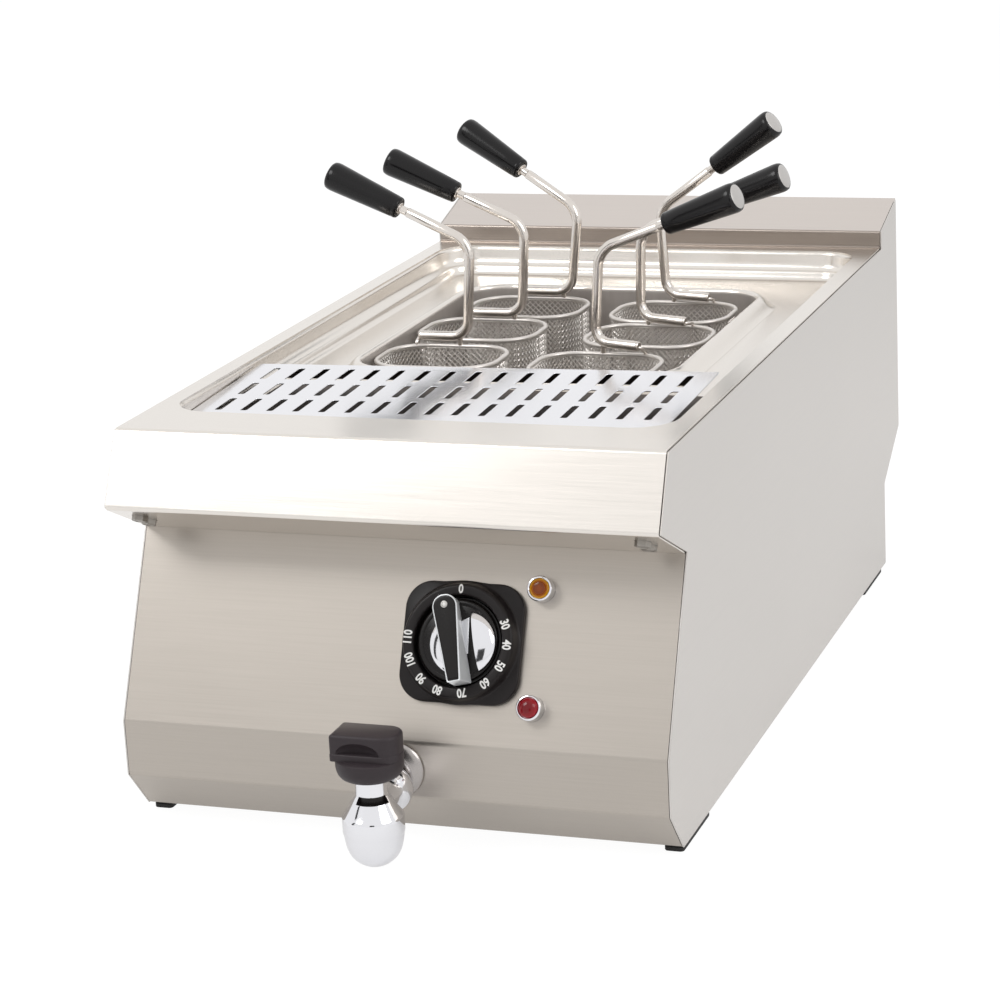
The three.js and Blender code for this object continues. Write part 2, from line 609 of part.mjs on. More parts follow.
for (const [name, side] of [['knob_dome_left', -1], ['knob_dome_right', 1]]) {
  const cap = toSolid(new THREE.SphereGeometry(dome.radius, roundSides, smallSides)
    .scale(1, 1, dome.height / dome.radius).translate(side * dome.x, dome.y, dome.base));
  const reach = 2 * dome.radius;
  const keep = slab([side * dome.inner, side * reach].sort((a, b) => a - b), [-reach, reach],
    [dome.base, dome.base + reach]);
  place(knobGroup, name, cap.intersect(toSolid(keep)), chromed);
}

const lamp = { radius: 9, height: 10, seat: 7.2, lens: 6.9, tail: 5.5, back: -20 };
const lampProfile = [[0, lamp.back], [lamp.tail, lamp.back], [lamp.tail, gap], [lamp.radius, gap],
  [lamp.radius, lamp.height - 2], [lamp.radius - 1, lamp.height], [lamp.lens + gap, lamp.height],
  [lamp.lens + gap, lamp.seat], [0, lamp.seat]];
const lensProfiles = {
  amber: [[0, lamp.seat + slim], [lamp.lens, lamp.seat + slim], [lamp.lens, 9.6], [6.2, 10.4],
    [4.4, 10.6], [0, 10.6]],
  red: [[0, lamp.seat + slim], [lamp.lens, lamp.seat + slim], [lamp.lens, 9.4], [6.2, 11],
    [4.6, 12.4], [2.4, 13.2], [0, 13.5]],
};
for (const [colour, y, material] of [['amber', lampSpots.amber, amberLens],
  ['red', lampSpots.red, redLens]]) {
  place(panelGroup, `lamp_${colour}_bezel`, join(
    turned(lampProfile, 16).translate(lampSpots.x, y, 0)), chromed);
  place(panelGroup, `lamp_${colour}_lens`, join(
    turned(lensProfiles[colour], 16).translate(lampSpots.x, y, 0)), material);
}

// Bolts through the undercut into the panel's fixing flange
const boltGroup = new THREE.Group();
boltGroup.position.set(0, ...noseRoot);
boltGroup.rotation.x = Math.PI + Math.atan2(underWay[1], underWay[0]);
cooker.add(boltGroup);
const bolt = { head: 5.6, headHeight: 4.2, washer: 6.4, washerHeight: 1, shank: 2.5, depth: 8 };
boltSpots.forEach(({ x, reach }, i) => {
  place(boltGroup, `nose_bolt_${i + 1}`, join(
    cylinder(bolt.washer, gap, gap + bolt.washerHeight, smallSides).translate(x, reach, 0),
    cylinder(bolt.head, gap, gap + bolt.washerHeight + bolt.headHeight, 6).translate(x, reach, 0),
    cylinder(bolt.shank, -bolt.depth, gap + bolt.washerHeight, thinSides).translate(x, reach, 0)),
  zincPlate);
});

// Drain tap: wall flange, body with its union, and the quarter-turn handle
const flangeProfile = [[pipe.clear, 0.3], [20, 0.3], [20, 1.6], [18.6, 2.8], [14, 4.6], [11.5, 6],
  [pipe.clear, 6], [pipe.clear, 0.3]];
place(cooker, 'tap_flange', join(
  alongY(turned(flangeProfile, 20), tap.x, bandFoot[0], tap.z)), polishedSteel);
const unionProfile = [[0, 6.6], [11, 6.6], [15.2, 9], [16.8, 15], [15.6, 21], [12, 27],
  [12, 44], [0, 44]];
const tapProfile = [[0, 0.4], [10, 0.4], [10.6, 3], [18.4, 16], [20.2, 19.2], [20.8, 20.8],
  [22, 26], [22, 32], [20.6, 36], [12.6, 47.4], [10.6, 50.4], [10.6, 57], [0, 57]];
const spout = { radius: 7, depth: 16 };
const stopSlot = { inner: 13.2, outer: 24, low: 43.4, high: 46.2, start: -2.5, sweep: 1.9 };
const slotShape = new THREE.Shape();
slotShape.absarc(0, 0, stopSlot.outer, stopSlot.start, stopSlot.start + stopSlot.sweep, false);
slotShape.absarc(0, 0, stopSlot.inner, stopSlot.start + stopSlot.sweep, stopSlot.start, true);
place(cooker, 'tap_body', cut(
  join(turned(tapProfile, 20).translate(tap.x, tap.y, 0),
    alongY(turned(unionProfile, 16), tap.x, bandFoot[0], tap.z - 22)),
  cylinder(spout.radius, -through, spout.depth, 16).translate(tap.x, tap.y, 0),
  upright(slotShape, stopSlot.low, stopSlot.high, 10).translate(tap.x, tap.y, 0)), chromed);

const lever = { halfX: 24.6, halfY: 14.5, low: 63, high: 99, bevel: 2.5, bowl: 25, shelf: 76,
  scoopX: 17.5, scoopY: 7.5, bore: 11 };
const bowlProfile = [[0, lever.low + 3], [lever.bowl - 1.4, lever.low + 3], [lever.bowl, lever.low],
  [24.4, 58.6], [21, 55.6], [18, 55], [0, 55]].reverse();
const blockShape = roundedShape(0, 0, lever.halfX - lever.bevel, lever.halfY - lever.bevel,
  Array(4).fill(2));
const block = new THREE.ExtrudeGeometry(blockShape, {
  depth: lever.high - lever.low - 2 * lever.bevel, bevelSize: lever.bevel, bevelSegments: 2,
  bevelThickness: lever.bevel, curveSegments: 3,
}).translate(0, 0, lever.low + lever.bevel);
const scoop = (side) => slab([-lever.scoopX, lever.scoopX],
  [side * lever.scoopY, side * 2 * lever.halfY].sort((a, b) => a - b),
  [lever.shelf, lever.high + through]);
const leverGroup = new THREE.Group();
leverGroup.position.set(tap.x, tap.y, 0);
cooker.add(leverGroup);
place(leverGroup, 'tap_handle', cut(
  join(turned(bowlProfile, 20), block), scoop(-1), scoop(1),
  cylinder(lever.bore, lever.low - 10, 57.6, 16)), blackMatt);

// Fittings inside the body
const bulbPath = bentPath([[bulb.x, bulb.tail, bulb.z], [bulb.x, bulb.tip, bulb.z]], []);
const capillary = { radius: 1, elbow: 130, bend: 20, lastBend: 14, side: 30, front: 90, rise: 15.5,
  headFront: 62, headDrop: 26 };
const capillaryPath = bentPath([
  [bulb.x, bulb.tail + 2, bulb.z], [bulb.x, capillary.elbow, bulb.z],
  [-capillary.side, capillary.front, bulb.z],
  [dialX - capillary.headDrop, capillary.headFront, bulb.z + capillary.rise]],
[capillary.bend, capillary.lastBend]);
place(cooker, 'thermostat_bulb', join(
  rodAlong(bulbPath, bulb.radius), rodAlong(capillaryPath, capillary.radius, 5)), wireSteel);
const limiter = { inset: 80, width: 44, front: 60, depth: 50, head: 46 };
const limiterCap = { radius: 6, rise: 7, sunk: 1 };
const terminals = { inset: 50, width: 66, rear: 83, depth: 35, head: 26 };
const contactor = { inset: 70, width: 60, rear: 98, depth: 62, head: 62 };
const limiterX = limiter.inset - halfWidth;
const terminalsX = terminals.inset - halfWidth;
const contactorX = halfWidth - contactor.inset;
const rearFitting = ({ rear, depth }) => [bottomRear[0] - rear, bottomRear[0] - rear + depth];
place(cooker, 'limit_thermostat', join(
  slab([limiterX, limiterX + limiter.width], [limiter.front, limiter.front + limiter.depth],
    [sheet, limiter.head]),
  cylinder(limiterCap.radius, limiter.head - limiterCap.sunk, limiter.head + limiterCap.rise)
    .translate(limiterX + limiter.width / 2, limiter.front + limiter.depth / 2, 0)), blackMatt);
place(cooker, 'terminal_block', join(
  slab([terminalsX, terminalsX + terminals.width], rearFitting(terminals),
    [sheet, terminals.head])), paleCeramic);
place(cooker, 'contactor', join(
  slab([contactorX - contactor.width, contactorX], rearFitting(contactor),
    [sheet, contactor.head])), blackMatt);
const glandProfile = [[0, 13], [10.5, 13], [10.5, sheet + gap], [gland.neck, sheet + gap],
  [gland.neck, -gap], [gland.nut, -gap], [gland.nut, -10], [9, -13], [6.5, -19], [0, -19]].reverse();
place(cooker, 'cable_gland', join(
  alongY(turned(glandProfile, 16), gland.x, stepFoot[0], gland.z)), blackMatt);

export default group;
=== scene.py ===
import math

import bmesh
import bpy
from mathutils import Matrix, Vector
from mathutils.geometry import interpolate_bezier


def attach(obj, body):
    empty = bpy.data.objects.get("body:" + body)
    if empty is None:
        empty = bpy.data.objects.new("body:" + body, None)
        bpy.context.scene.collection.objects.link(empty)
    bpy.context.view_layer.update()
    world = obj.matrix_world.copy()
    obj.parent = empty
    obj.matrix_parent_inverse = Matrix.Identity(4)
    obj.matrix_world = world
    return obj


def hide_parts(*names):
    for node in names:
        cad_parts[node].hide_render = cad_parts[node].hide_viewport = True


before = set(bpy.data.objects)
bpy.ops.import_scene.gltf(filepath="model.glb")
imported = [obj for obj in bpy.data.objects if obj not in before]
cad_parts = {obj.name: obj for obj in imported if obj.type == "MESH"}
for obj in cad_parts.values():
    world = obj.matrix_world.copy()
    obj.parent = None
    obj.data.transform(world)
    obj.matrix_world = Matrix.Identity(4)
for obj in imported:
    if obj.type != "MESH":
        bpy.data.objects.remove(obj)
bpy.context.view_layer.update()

scene = bpy.context.scene
scene.view_settings.view_transform = "Standard"

# Shapes are drawn in millimetres, depth from the worktop's front edge and height from the
# underside of the body, and each one is set down over its feet when it is finished.
onFeet = Matrix.Translation((0, -0.314, 0.006)) @ Matrix.Scale(0.001, 4)


def setDown(x, y, z=0):
    return onFeet @ Matrix.Translation((x, y, z))


def turned(degrees, axis="Z"):
    return Matrix.Rotation(math.radians(degrees), 4, axis)


def facing(way, axis="Z"):
    return way.to_track_quat(axis, "Y").to_matrix().to_4x4()


# Mesh helpers
def widest(bm):
    return max(bm.faces, key=lambda face: face.calc_area())


def outward(bm):
    bmesh.ops.recalc_face_normals(bm, faces=bm.faces[:])


def turnedOut(bm, outwards):  # normals outwards, with the widest face looking this way
    outward(bm)
    bm.normal_update()
    if widest(bm).normal.dot(Vector(outwards)) < 0:
        bmesh.ops.reverse_faces(bm, faces=bm.faces[:])
    bm.normal_update()


def facedUp(face):
    face.normal_update()
    if face.normal.z < 0:
        face.normal_flip()
    return face


def bevelled(bm, geom, offset, steps, affect="EDGES", clamp=False):
    bmesh.ops.bevel(bm, geom=geom, offset=offset, offset_type="OFFSET", segments=steps,
                    profile=0.5, affect=affect, clamp_overlap=clamp, material=-1)


def rounded(bm, corners, reaches, steps):  # a flat face, each corner rounded by its own reach
    known = set(bm.faces)
    bm.faces.new(corners)
    for corner, reach in zip(corners, reaches):
        bevelled(bm, [corner], reach, steps, "VERTICES")
    return facedUp(next(one for one in bm.faces if one not in known))


def cornered(bm, x, y, halfX, halfY, radii, z, steps):  # a flat box face about its middle
    corners = [bm.verts.new((x + sideX * halfX, y + sideY * halfY, z))
               for sideX, sideY in ((-1, -1), (1, -1), (1, 1), (-1, 1))]
    return rounded(bm, corners, radii if isinstance(radii, tuple) else (radii,) * 4, steps)


def pressed(bm, face, profile):  # pairs of inset and height, the first where the face is now
    for (inset, height), (nextInset, nextHeight) in zip(profile, profile[1:]):
        bmesh.ops.inset_individual(bm, faces=[face], thickness=nextInset - inset,
                                   depth=nextHeight - height, use_even_offset=True)
    return face


def opened(bm, face):  # takes the face out and keeps its edges as a loop
    loop = list(face.edges)
    bmesh.ops.delete(bm, geom=[face], context="FACES_ONLY")
    return loop


def gridded(bm, columns, rows, halfX, halfY, z=0):  # a flat grid of squares about the axis
    stretch = Matrix.Translation((0, 0, z)) @ Matrix.Diagonal((halfX, halfY, 1, 1))
    return bmesh.ops.create_grid(bm, x_segments=columns, y_segments=rows, size=1,
                                 matrix=stretch)["verts"]


def circled(bm, radius, z, steps):
    ring = bmesh.ops.create_circle(bm, cap_ends=False, radius=radius, segments=steps,
                                   matrix=Matrix.Translation((0, 0, z)))["verts"]
    return list({edge for vert in ring for edge in vert.link_edges})


def bridged(bm, first, second):
    bmesh.ops.bridge_loops(bm, edges=first + second)


def capped(bm):  # closes what is still open
    bmesh.ops.holes_fill(bm, edges=[edge for edge in bm.edges if edge.is_boundary], sides=0)


def thickened(bm, sheet):
    bmesh.ops.solidify(bm, geom=bm.faces[:], thickness=sheet)


def cut(bm, spot, way, clear=False):  # along a plane, and clear takes off what lies beyond it
    bmesh.ops.bisect_plane(bm, geom=bm.verts[:] + bm.edges[:] + bm.faces[:], plane_co=spot,
                           plane_no=way, clear_outer=clear)


def pulled(bm, grown, way):  # moves the corners that an extrusion made
    verts = [one for one in grown if isinstance(one, bmesh.types.BMVert)]
    bmesh.ops.translate(bm, verts=verts, vec=way)
    return verts


def folded(look, outwards):  # a folded sheet, its line drawn as depth and height
    bm = bmesh.new()
    verts = [bm.verts.new((-look["halfX"], y, z)) for y, z in look["line"]]
    line = [bm.edges.new(pair) for pair in zip(verts, verts[1:])]
    pulled(bm, bmesh.ops.extrude_edge_only(bm, edges=line)["geom"], (2 * look["halfX"], 0, 0))
    bevelled(bm, [edge for edge in bm.edges if len(edge.link_faces) == 2], look["fold"], 4)
    turnedOut(bm, outwards)
    return bm


def spun(profile, steps):  # pairs of radius and height, turned about the upright axis
    bm = bmesh.new()
    verts = [bm.verts.new((radius, 0, height)) for radius, height in profile]
    line = [bm.edges.new(pair) for pair in zip(verts, verts[1:])]
    bmesh.ops.spin(bm, geom=verts + line, cent=(0, 0, 0), axis=(0, 0, 1), dvec=(0, 0, 0),
                   angle=2 * math.pi, steps=steps, use_merge=True)
    bmesh.ops.remove_doubles(bm, verts=bm.verts[:], dist=0.0005)
    outward(bm)
    return bm


def raised(bm, face, height):  # pulls a flat face up into a solid
    grown = bmesh.ops.extrude_face_region(bm, geom=[face])["geom"]
    pulled(bm, grown, (0, 0, height))
    return next(one for one in grown if isinstance(one, bmesh.types.BMFace))


def eased(bm, offset, steps, angle):  # rounds the edges sharper than the angle
    sharp = [edge for edge in bm.edges if len(edge.link_faces) == 2
             and edge.calc_face_angle(0) > math.radians(angle)]
    bevelled(bm, sharp, offset, steps, clamp=True)


def beyond(spot, halfX, halfY, radius):  # how far it lies outside a rounded outline
    return math.hypot(max(abs(spot.x) - halfX + radius, 0),
                      max(abs(spot.y) - halfY + radius, 0)) - radius


def bent(points, bends, steps=8):  # straight runs with rounded corners
    corners = [Vector(point) for point in points]
    stops = [corners[0]]
    for before, corner, after, reach in zip(corners, corners[1:], corners[2:], bends):
        entry = corner + (before - corner).normalized() * reach
        leave = corner + (after - corner).normalized() * reach
        stops += interpolate_bezier(entry, entry.lerp(corner, 0.56), leave.lerp(corner, 0.56),
                                    leave, steps + 1)
    return stops + [corners[-1]]


def tubed(bm, stops, radius, closed=False, around=4, tips=None):  # a round wire along the stops
    curve = bpy.data.curves.new("wire", "CURVE")
    curve.dimensions = "3D"
    curve.bevel_depth = radius
    curve.bevel_resolution = around
    curve.use_fill_caps = True
    spline = curve.splines.new("POLY")
    spline.points.add(len(stops) - 1)
    for point, stop in zip(spline.points, stops):
        point.co = (*stop, 1)
    for index, share in (tips or {}).items():
        spline.points[index % len(stops)].radius = share
    spline.use_cyclic_u = closed
    holder = bpy.data.objects.new("wire", curve)
    mesh = bpy.data.meshes.new_from_object(holder)
    bm.from_mesh(mesh)
    bpy.data.objects.remove(holder)
    bpy.data.meshes.remove(mesh)
    bpy.data.curves.remove(curve)


def joined(*meshes):
    whole = bmesh.new()
    for bm in meshes:
        part = bpy.data.meshes.new("part")
        bm.to_mesh(part)
        bm.free()
        whole.from_mesh(part)
        bpy.data.meshes.remove(part)
    return whole


def placed(name, bm, coats):  # an object with the named coats of paint
    mesh = bpy.data.meshes.new(name)
    bm.to_mesh(mesh)
    bm.free()
    for coat in coats if isinstance(coats, list) else [coats]:
        mesh.materials.append(paint[coat])
    made = bpy.data.objects.new(name, mesh)
    scene.collection.objects.link(made)
    return made


def finished(name, bm, coats, body, nodes, place=onFeet, sharp=32, weigh=False):
    bm.transform(place)
    piece = placed(name, bm, coats)
    mesh = piece.data
    mesh.polygons.foreach_set("use_smooth", [True] * len(mesh.polygons))
    mesh.set_sharp_from_angle(angle=math.radians(sharp))
    if weigh:
        weight = piece.modifiers.new("weight", "WEIGHTED_NORMAL")
        weight.keep_sharp = True
    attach(piece, body)
    if nodes:
        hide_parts(*nodes)
    return piece


# Shader maths, with one socket as the number that the operators work on
class Flow:
    def __init__(self, tree, socket):
        self.tree = tree
        self.socket = socket

    def node(self, kind, settings=None, inputs=None, output=0):
        made = self.tree.nodes.new(kind)
        for key, value in (settings or {}).items():
            if key == "stops":
                ramp = made.color_ramp
                while len(ramp.elements) < len(value):
                    ramp.elements.new(1)
                for element, (position, colour) in zip(ramp.elements, value):
                    element.position = position
                    element.color = (*colour, 1)
            else:
                setattr(made, key, value)
        for key, value in (inputs or {}).items():
            if isinstance(value, Flow):
                self.tree.links.new(value.socket, made.inputs[key])
            else:
                made.inputs[key].default_value = value
        return Flow(self.tree, made.outputs[output])

    def maths(self, operation, first, second):
        return self.node("ShaderNodeMath", {"operation": operation}, {0: first, 1: second})

    def __add__(self, other):
        return self.maths("ADD", self, other)

    def __mul__(self, other):
        return self.maths("MULTIPLY", self, other)


def toLinear(colour):
    return tuple(((one / 255 + 0.055) / 1.055) ** 2.4 if one > 10 else one / 255 / 12.92
                 for one in colour)


def shade(name, colour, **fixed):
    material = bpy.data.materials.new(name)
    material.use_nodes = True
    tree = material.node_tree
    surface = tree.nodes["Principled BSDF"]
    surface.inputs["Base Color"].default_value = (*toLinear(colour), 1)
    for key, value in fixed.items():
        surface.inputs[key.replace("_", " ")].default_value = value
    start = Flow(tree, surface.outputs[0])
    return material, start, surface


def feed(start, surface, **links):
    for key, value in links.items():
        start.tree.links.new(value.socket, surface.inputs[key.replace("_", " ")])


def blended(start, first, second, factor):  # mixes two colours
    return start.node("ShaderNodeMix", {"data_type": "RGBA"},
                      {0: factor, 6: (*toLinear(first), 1), 7: (*toLinear(second), 1)}, 2)


def brushed(name, look):  # rolled sheet with its grain along one axis
    material, start, surface = shade(name, look["colour"], Metallic=look.get("metal", 1.0))
    where = start.node("ShaderNodeTexCoord", output=3)
    grain = start.node("ShaderNodeMapping", {}, {"Vector": where, "Scale": look["stretch"]})
    lines = start.node("ShaderNodeTexNoise", {}, {
        "Vector": grain, "Scale": 1.0, "Detail": 4.0, "Roughness": 0.65})
    cloud = start.node("ShaderNodeTexNoise", {}, {"Vector": where, "Scale": 5.0, "Detail": 2.0})
    tone = lines * 0.7 + cloud * 0.3
    feed(start, surface,
         Base_Color=blended(start, look["dark"], look["light"], tone),
         Roughness=lines * look["spread"] + look["rough"] + cloud * 0.04,
         Normal=start.node("ShaderNodeBump", {}, {
             "Strength": look["bump"], "Distance": 0.0002, "Height": lines}))
    return material


def satin(name, look):  # plastics, rubber and plated metal with a faint speckle
    material, start, surface = shade(name, look["colour"], Metallic=look.get("metal", 0.0))
    surface.inputs["Specular IOR Level"].default_value = look.get("gloss", 0.5)
    where = start.node("ShaderNodeTexCoord", output=3)
    speckle = start.node("ShaderNodeTexNoise", {}, {
        "Vector": where, "Scale": 900.0, "Detail": 3.0})
    cloud = start.node("ShaderNodeTexNoise", {}, {"Vector": where, "Scale": 40.0, "Detail": 2.0})
    feed(start, surface,
         Base_Color=blended(start, look["colour"], look["worn"], speckle * 0.5 + cloud * 0.5),
         Roughness=speckle * look.get("spread", 0.06) + look["rough"] + cloud * 0.05,
         Normal=start.node("ShaderNodeBump", {}, {
             "Strength": look.get("bump", 0.08), "Distance": 0.0002, "Height": speckle}))
    return material


steels = {
    # the control panel's steel is set darker than the top's: painted shade
    "panel": {"colour": (180, 173, 165), "dark": (172, 165, 157), "light": (190, 183, 175),
              "stretch": (12, 900, 900), "rough": 0.27, "spread": 0.12, "bump": 0.06},
    "side": {"colour": (208, 204, 200), "dark": (200, 196, 192), "light": (217, 213, 209),
             "stretch": (900, 12, 900), "rough": 0.3, "spread": 0.12, "bump": 0.06},
    "top": {"colour": (226, 221, 214), "dark": (219, 213, 206), "light": (235, 230, 224),
            "stretch": (12, 900, 900), "rough": 0.16, "spread": 0.1, "bump": 0.04},
    "tank": {"colour": (190, 183, 178), "dark": (178, 171, 166), "light": (202, 196, 191),
             "stretch": (300, 300, 30), "rough": 0.32, "spread": 0.1, "bump": 0.04, "metal": 0.55},
    "splash": {"colour": (209, 201, 195), "dark": (202, 194, 188), "light": (217, 209, 203),
               "stretch": (12, 900, 900), "rough": 0.27, "spread": 0.12, "bump": 0.06},
    # painted shade: the splashback's upright strip is set darker than its top
    "strip": {"colour": (160, 150, 142), "dark": (150, 140, 132), "light": (172, 162, 154),
              "stretch": (12, 900, 900), "rough": 0.25, "spread": 0.12, "bump": 0.06},
    "plate": {"colour": (232, 232, 236), "dark": (226, 226, 231), "light": (238, 238, 241),
              "stretch": (10, 700, 700), "rough": 0.1, "spread": 0.06, "bump": 0.02},
    "zinc": {"colour": (168, 167, 164), "dark": (150, 149, 147), "light": (186, 185, 182),
             "stretch": (60, 60, 60), "rough": 0.38, "spread": 0.2, "bump": 0.05},
}
finishes = {
    "wire": {"colour": (222, 217, 212), "worn": (208, 202, 196), "metal": 0.6, "rough": 0.26},
    "barSilver": {"colour": (232, 234, 236), "worn": (224, 226, 228), "metal": 0.3, "rough": 0.16,
                  "spread": 0.03, "bump": 0.02},
    "rod": {"colour": (226, 220, 214), "worn": (215, 208, 201), "metal": 1.0, "rough": 0.1,
            "spread": 0.08},
    "chrome": {"colour": (232, 232, 235), "worn": (226, 226, 230), "metal": 1.0, "rough": 0.04,
               "spread": 0.03, "bump": 0.01},
    "bolt": {"colour": (170, 166, 160), "worn": (146, 141, 135), "metal": 1.0, "rough": 0.32},
    "gripBlack": {"colour": (15, 14, 15), "worn": (20, 18, 19), "rough": 0.14, "gloss": 0.3},
    "gripEnd": {"colour": (196, 193, 190), "worn": (183, 180, 177), "rough": 0.3, "metal": 0.5},
    "dialBlack": {"colour": (26, 22, 22), "worn": (32, 28, 28), "rough": 0.28, "bump": 0.05,
                  "gloss": 0.22},
    "knobBlack": {"colour": (20, 17, 17), "worn": (26, 23, 22), "rough": 0.2, "gloss": 0.25},
    "handleBlack": {"colour": (48, 41, 44), "worn": (54, 47, 50), "rough": 0.42, "bump": 0.15,
                    "gloss": 0.3},
    "flange": {"colour": (176, 171, 168), "worn": (164, 159, 156), "metal": 1.0, "rough": 0.2},
    "rubber": {"colour": (36, 35, 35), "worn": (44, 43, 42), "rough": 0.7, "bump": 0.25},
    "white": {"colour": (240, 239, 236), "worn": (232, 231, 228), "rough": 0.35},
    "ceramic": {"colour": (220, 214, 200), "worn": (208, 202, 189), "rough": 0.5},
    "blackBody": {"colour": (38, 36, 35), "worn": (46, 44, 42), "rough": 0.5},
    "shade": {"colour": (74, 65, 60), "worn": (84, 75, 70), "metal": 0.6, "rough": 0.55},
    # painted shade: the dark finish for the floor under the drip plate
    "pan": {"colour": (66, 58, 54), "worn": (80, 71, 66), "metal": 0.3, "rough": 0.6},
}
paint = {name: brushed(name, look) for name, look in steels.items()}
paint.update({name: satin(name, look) for name, look in finishes.items()})


def lensed(name, look, reach):  # a coloured lens, deeper in its middle and lighter in its outer ring: painted light through the dome, with a faint glow
    material, start, surface = shade(name, look["edge"], Roughness=0.08, Coat_Weight=0.1,
                                     Specular_IOR_Level=0.3)
    surface.inputs["Emission Strength"].default_value = look["glow"]
    where = start.node("ShaderNodeTexCoord", output=3)
    parts = where.node("ShaderNodeVectorMath", {"operation": "DISTANCE"},
                       {0: where, 1: look["centre"]}, 1)
    stops = [(share, toLinear(colour)) for share, colour in look["rings"]]
    rings = parts.node("ShaderNodeValToRGB", {"stops": stops}, {0: parts * (1000 / reach)})
    feed(start, surface, Base_Color=rings, Emission_Color=rings)
    return material


print("materials ready")

# Worktop: top with its pressed recess, fascia and undercut in one folded sheet
worktop = {
    "halfX": 198.5, "sheet": 1.2, "fold": 2.0,
    "line": [(659.7, 263), (659.7, 278), (0, 278), (-25, 228.5), (35.23, 199.13)],
    "recess": (0, 346.5, 185.2, 295.7, 31.2),
    "press": [(-2.2, 278), (-1.2, 277.8), (-0.5, 277.3), (0, 276.4), (0.3, 275), (1.0, 269.6),
              (1.6, 267.2), (2.8, 265.2), (4.6, 263.8), (6.2, 263.2), (7.1, 262.8), (7.8, 261.8),
              (8.4, 259.8), (9.2, 258.1), (10.8, 256.8), (13.5, 256.0)],
    "well": (0, 399, 127, 148.5, 34.5), "floor": 256, "pan": 230,
}


def makeWorktop():
    bm = folded(worktop, (0, 0, 1))
    top = opened(bm, widest(bm))
    face = cornered(bm, *worktop["recess"], worktop["press"][0][1], 12)
    rim = list(face.edges)
    floor = opened(bm, pressed(bm, face, worktop["press"]))
    bridged(bm, top, rim)
    bridged(bm, floor, opened(bm, cornered(bm, *worktop["well"], worktop["floor"], 12)))
    turnedOut(bm, (0, 0, 1))
    cut(bm, (0, worktop["pan"], 0), (0, 1, 0))
    for face in bm.faces:  # the floor under the drip plate gets a dark finish: painted shade
        spot = face.calc_center_median()
        face.material_index = int(abs(spot.z - worktop["floor"]) < 0.01
                                  and spot.y < worktop["pan"])
    thickened(bm, worktop["sheet"])
    finished("worktop_top", bm, ["top", "pan"], "cooker", ["worktop"],
             weigh=True)


makeWorktop()
print("worktop ready")

# Side panels, cut to the profile of the body, with a flange turned in below
side = {
    "outline": [(0, 278), (-25, 228.5), (35.5, 199), (-25, 72), (-25, 32), (3, 0), (658, 0),
                (658, 72), (720, 108), (720, 309), (660, 293), (660, 278)],
    "outer": 200, "sheet": 1.2, "flange": (15, 24.3, 639.5), "ease": 0.35,
}


def makeSide(name, hand):
    bm = bmesh.new()
    outer, inner = hand * side["outer"], hand * (side["outer"] - side["sheet"])
    face = bm.faces.new([bm.verts.new((outer, y, z)) for y, z in side["outline"]])
    pulled(bm, bmesh.ops.extrude_face_region(bm, geom=[face])["geom"], (inner - outer, 0, 0))
    outward(bm)
    eased(bm, side["ease"], 2, 60)
    width, front, rear = side["flange"]
    lip = bmesh.new()
    across = hand * (side["outer"] - side["sheet"] - width / 2)
    raised(lip, cornered(lip, across, (front + rear) / 2, width / 2, (rear - front) / 2, 2, 0, 3),
           side["sheet"])
    outward(lip)
    finished(name + "_sheet", joined(bm, lip), "side", "cooker", [name],
             weigh=True)


makeSide("side_panel_left", -1)
makeSide("side_panel_right", 1)
print("side panels ready")

# Control panel, splashback and the turned-down cover behind it
front = {"line": [(-10.58, 223.14), (36.16, 200.35), (-25, 72), (-25, 32), (3, 0), (24, 0)],
         "halfX": 198.5, "sheet": 1.2, "fold": 1.8}
splash = {"line": [(720.3, 228), (725, 228), (725, 310.3), (660, 293), (660, 263)],
          "halfX": 198.5, "sheet": 1.2, "fold": 1.5, "bead": (659.9, 279.6, 1.25), "strip": 661.6}


def makeFront():
    bm = folded(front, (0, -1, 0.4))
    thickened(bm, front["sheet"])
    finished("control_panel_sheet", bm, "panel", "cooker", ["control_panel"],
             weigh=True)


def makeSplash():
    bm = folded(splash, (0, 0, 1))
    thickened(bm, splash["sheet"])
    y, z, radius = splash["bead"]
    bead = bmesh.new()
    tubed(bead, [(-splash["halfX"], y, z), (splash["halfX"], y, z)], radius, around=3)
    whole = joined(bm, bead)
    for face in whole.faces:  # the upright strip gets a darker finish: painted shade
        face.material_index = int(face.calc_center_median().y < splash["strip"])
    finished("splashback_sheet", whole, ["splash", "strip"], "cooker", ["splashback"],
             weigh=True)


makeFront()
makeSplash()
print("front and splashback ready")

# Well tank with its raised bead on the worktop floor
tank = {
    "spot": (0, 399), "outer": (141.5, 163, 49), "inner": (125.5, 147, 33), "sheet": 1.2,
    "press": [(-16, 256.1), (-14.4, 256.5), (-12.7, 257.6), (-11.0, 259.3), (-9.4, 261.2),
              (-7.9, 262.9), (-6.4, 264.2), (-4.9, 265.1), (-3.5, 265.45), (-2.3, 265.3),
              (-1.2, 264.5), (-0.4, 263.2), (0, 261.4), (0, 96), (0.5, 90), (2.2, 84), (5, 79),
              (9, 76), (14, 75)],
    "polished": 0.6,
}


def makeTank():
    bm = bmesh.new()
    pressed(bm, cornered(bm, *tank["spot"], *tank["outer"], tank["press"][0][1], 14),
            tank["press"])
    for face in bm.faces:  # the bead's outer slope is polished like the top
        spot = face.calc_center_median() - Vector((*tank["spot"], 0))
        face.material_index = int(beyond(spot, *tank["inner"]) > tank["polished"])
    thickened(bm, tank["sheet"])
    finished("well_pressing", bm, ["tank", "top"], "cooker", ["well_tank"],
             weigh=True)


makeTank()
print("tank ready")

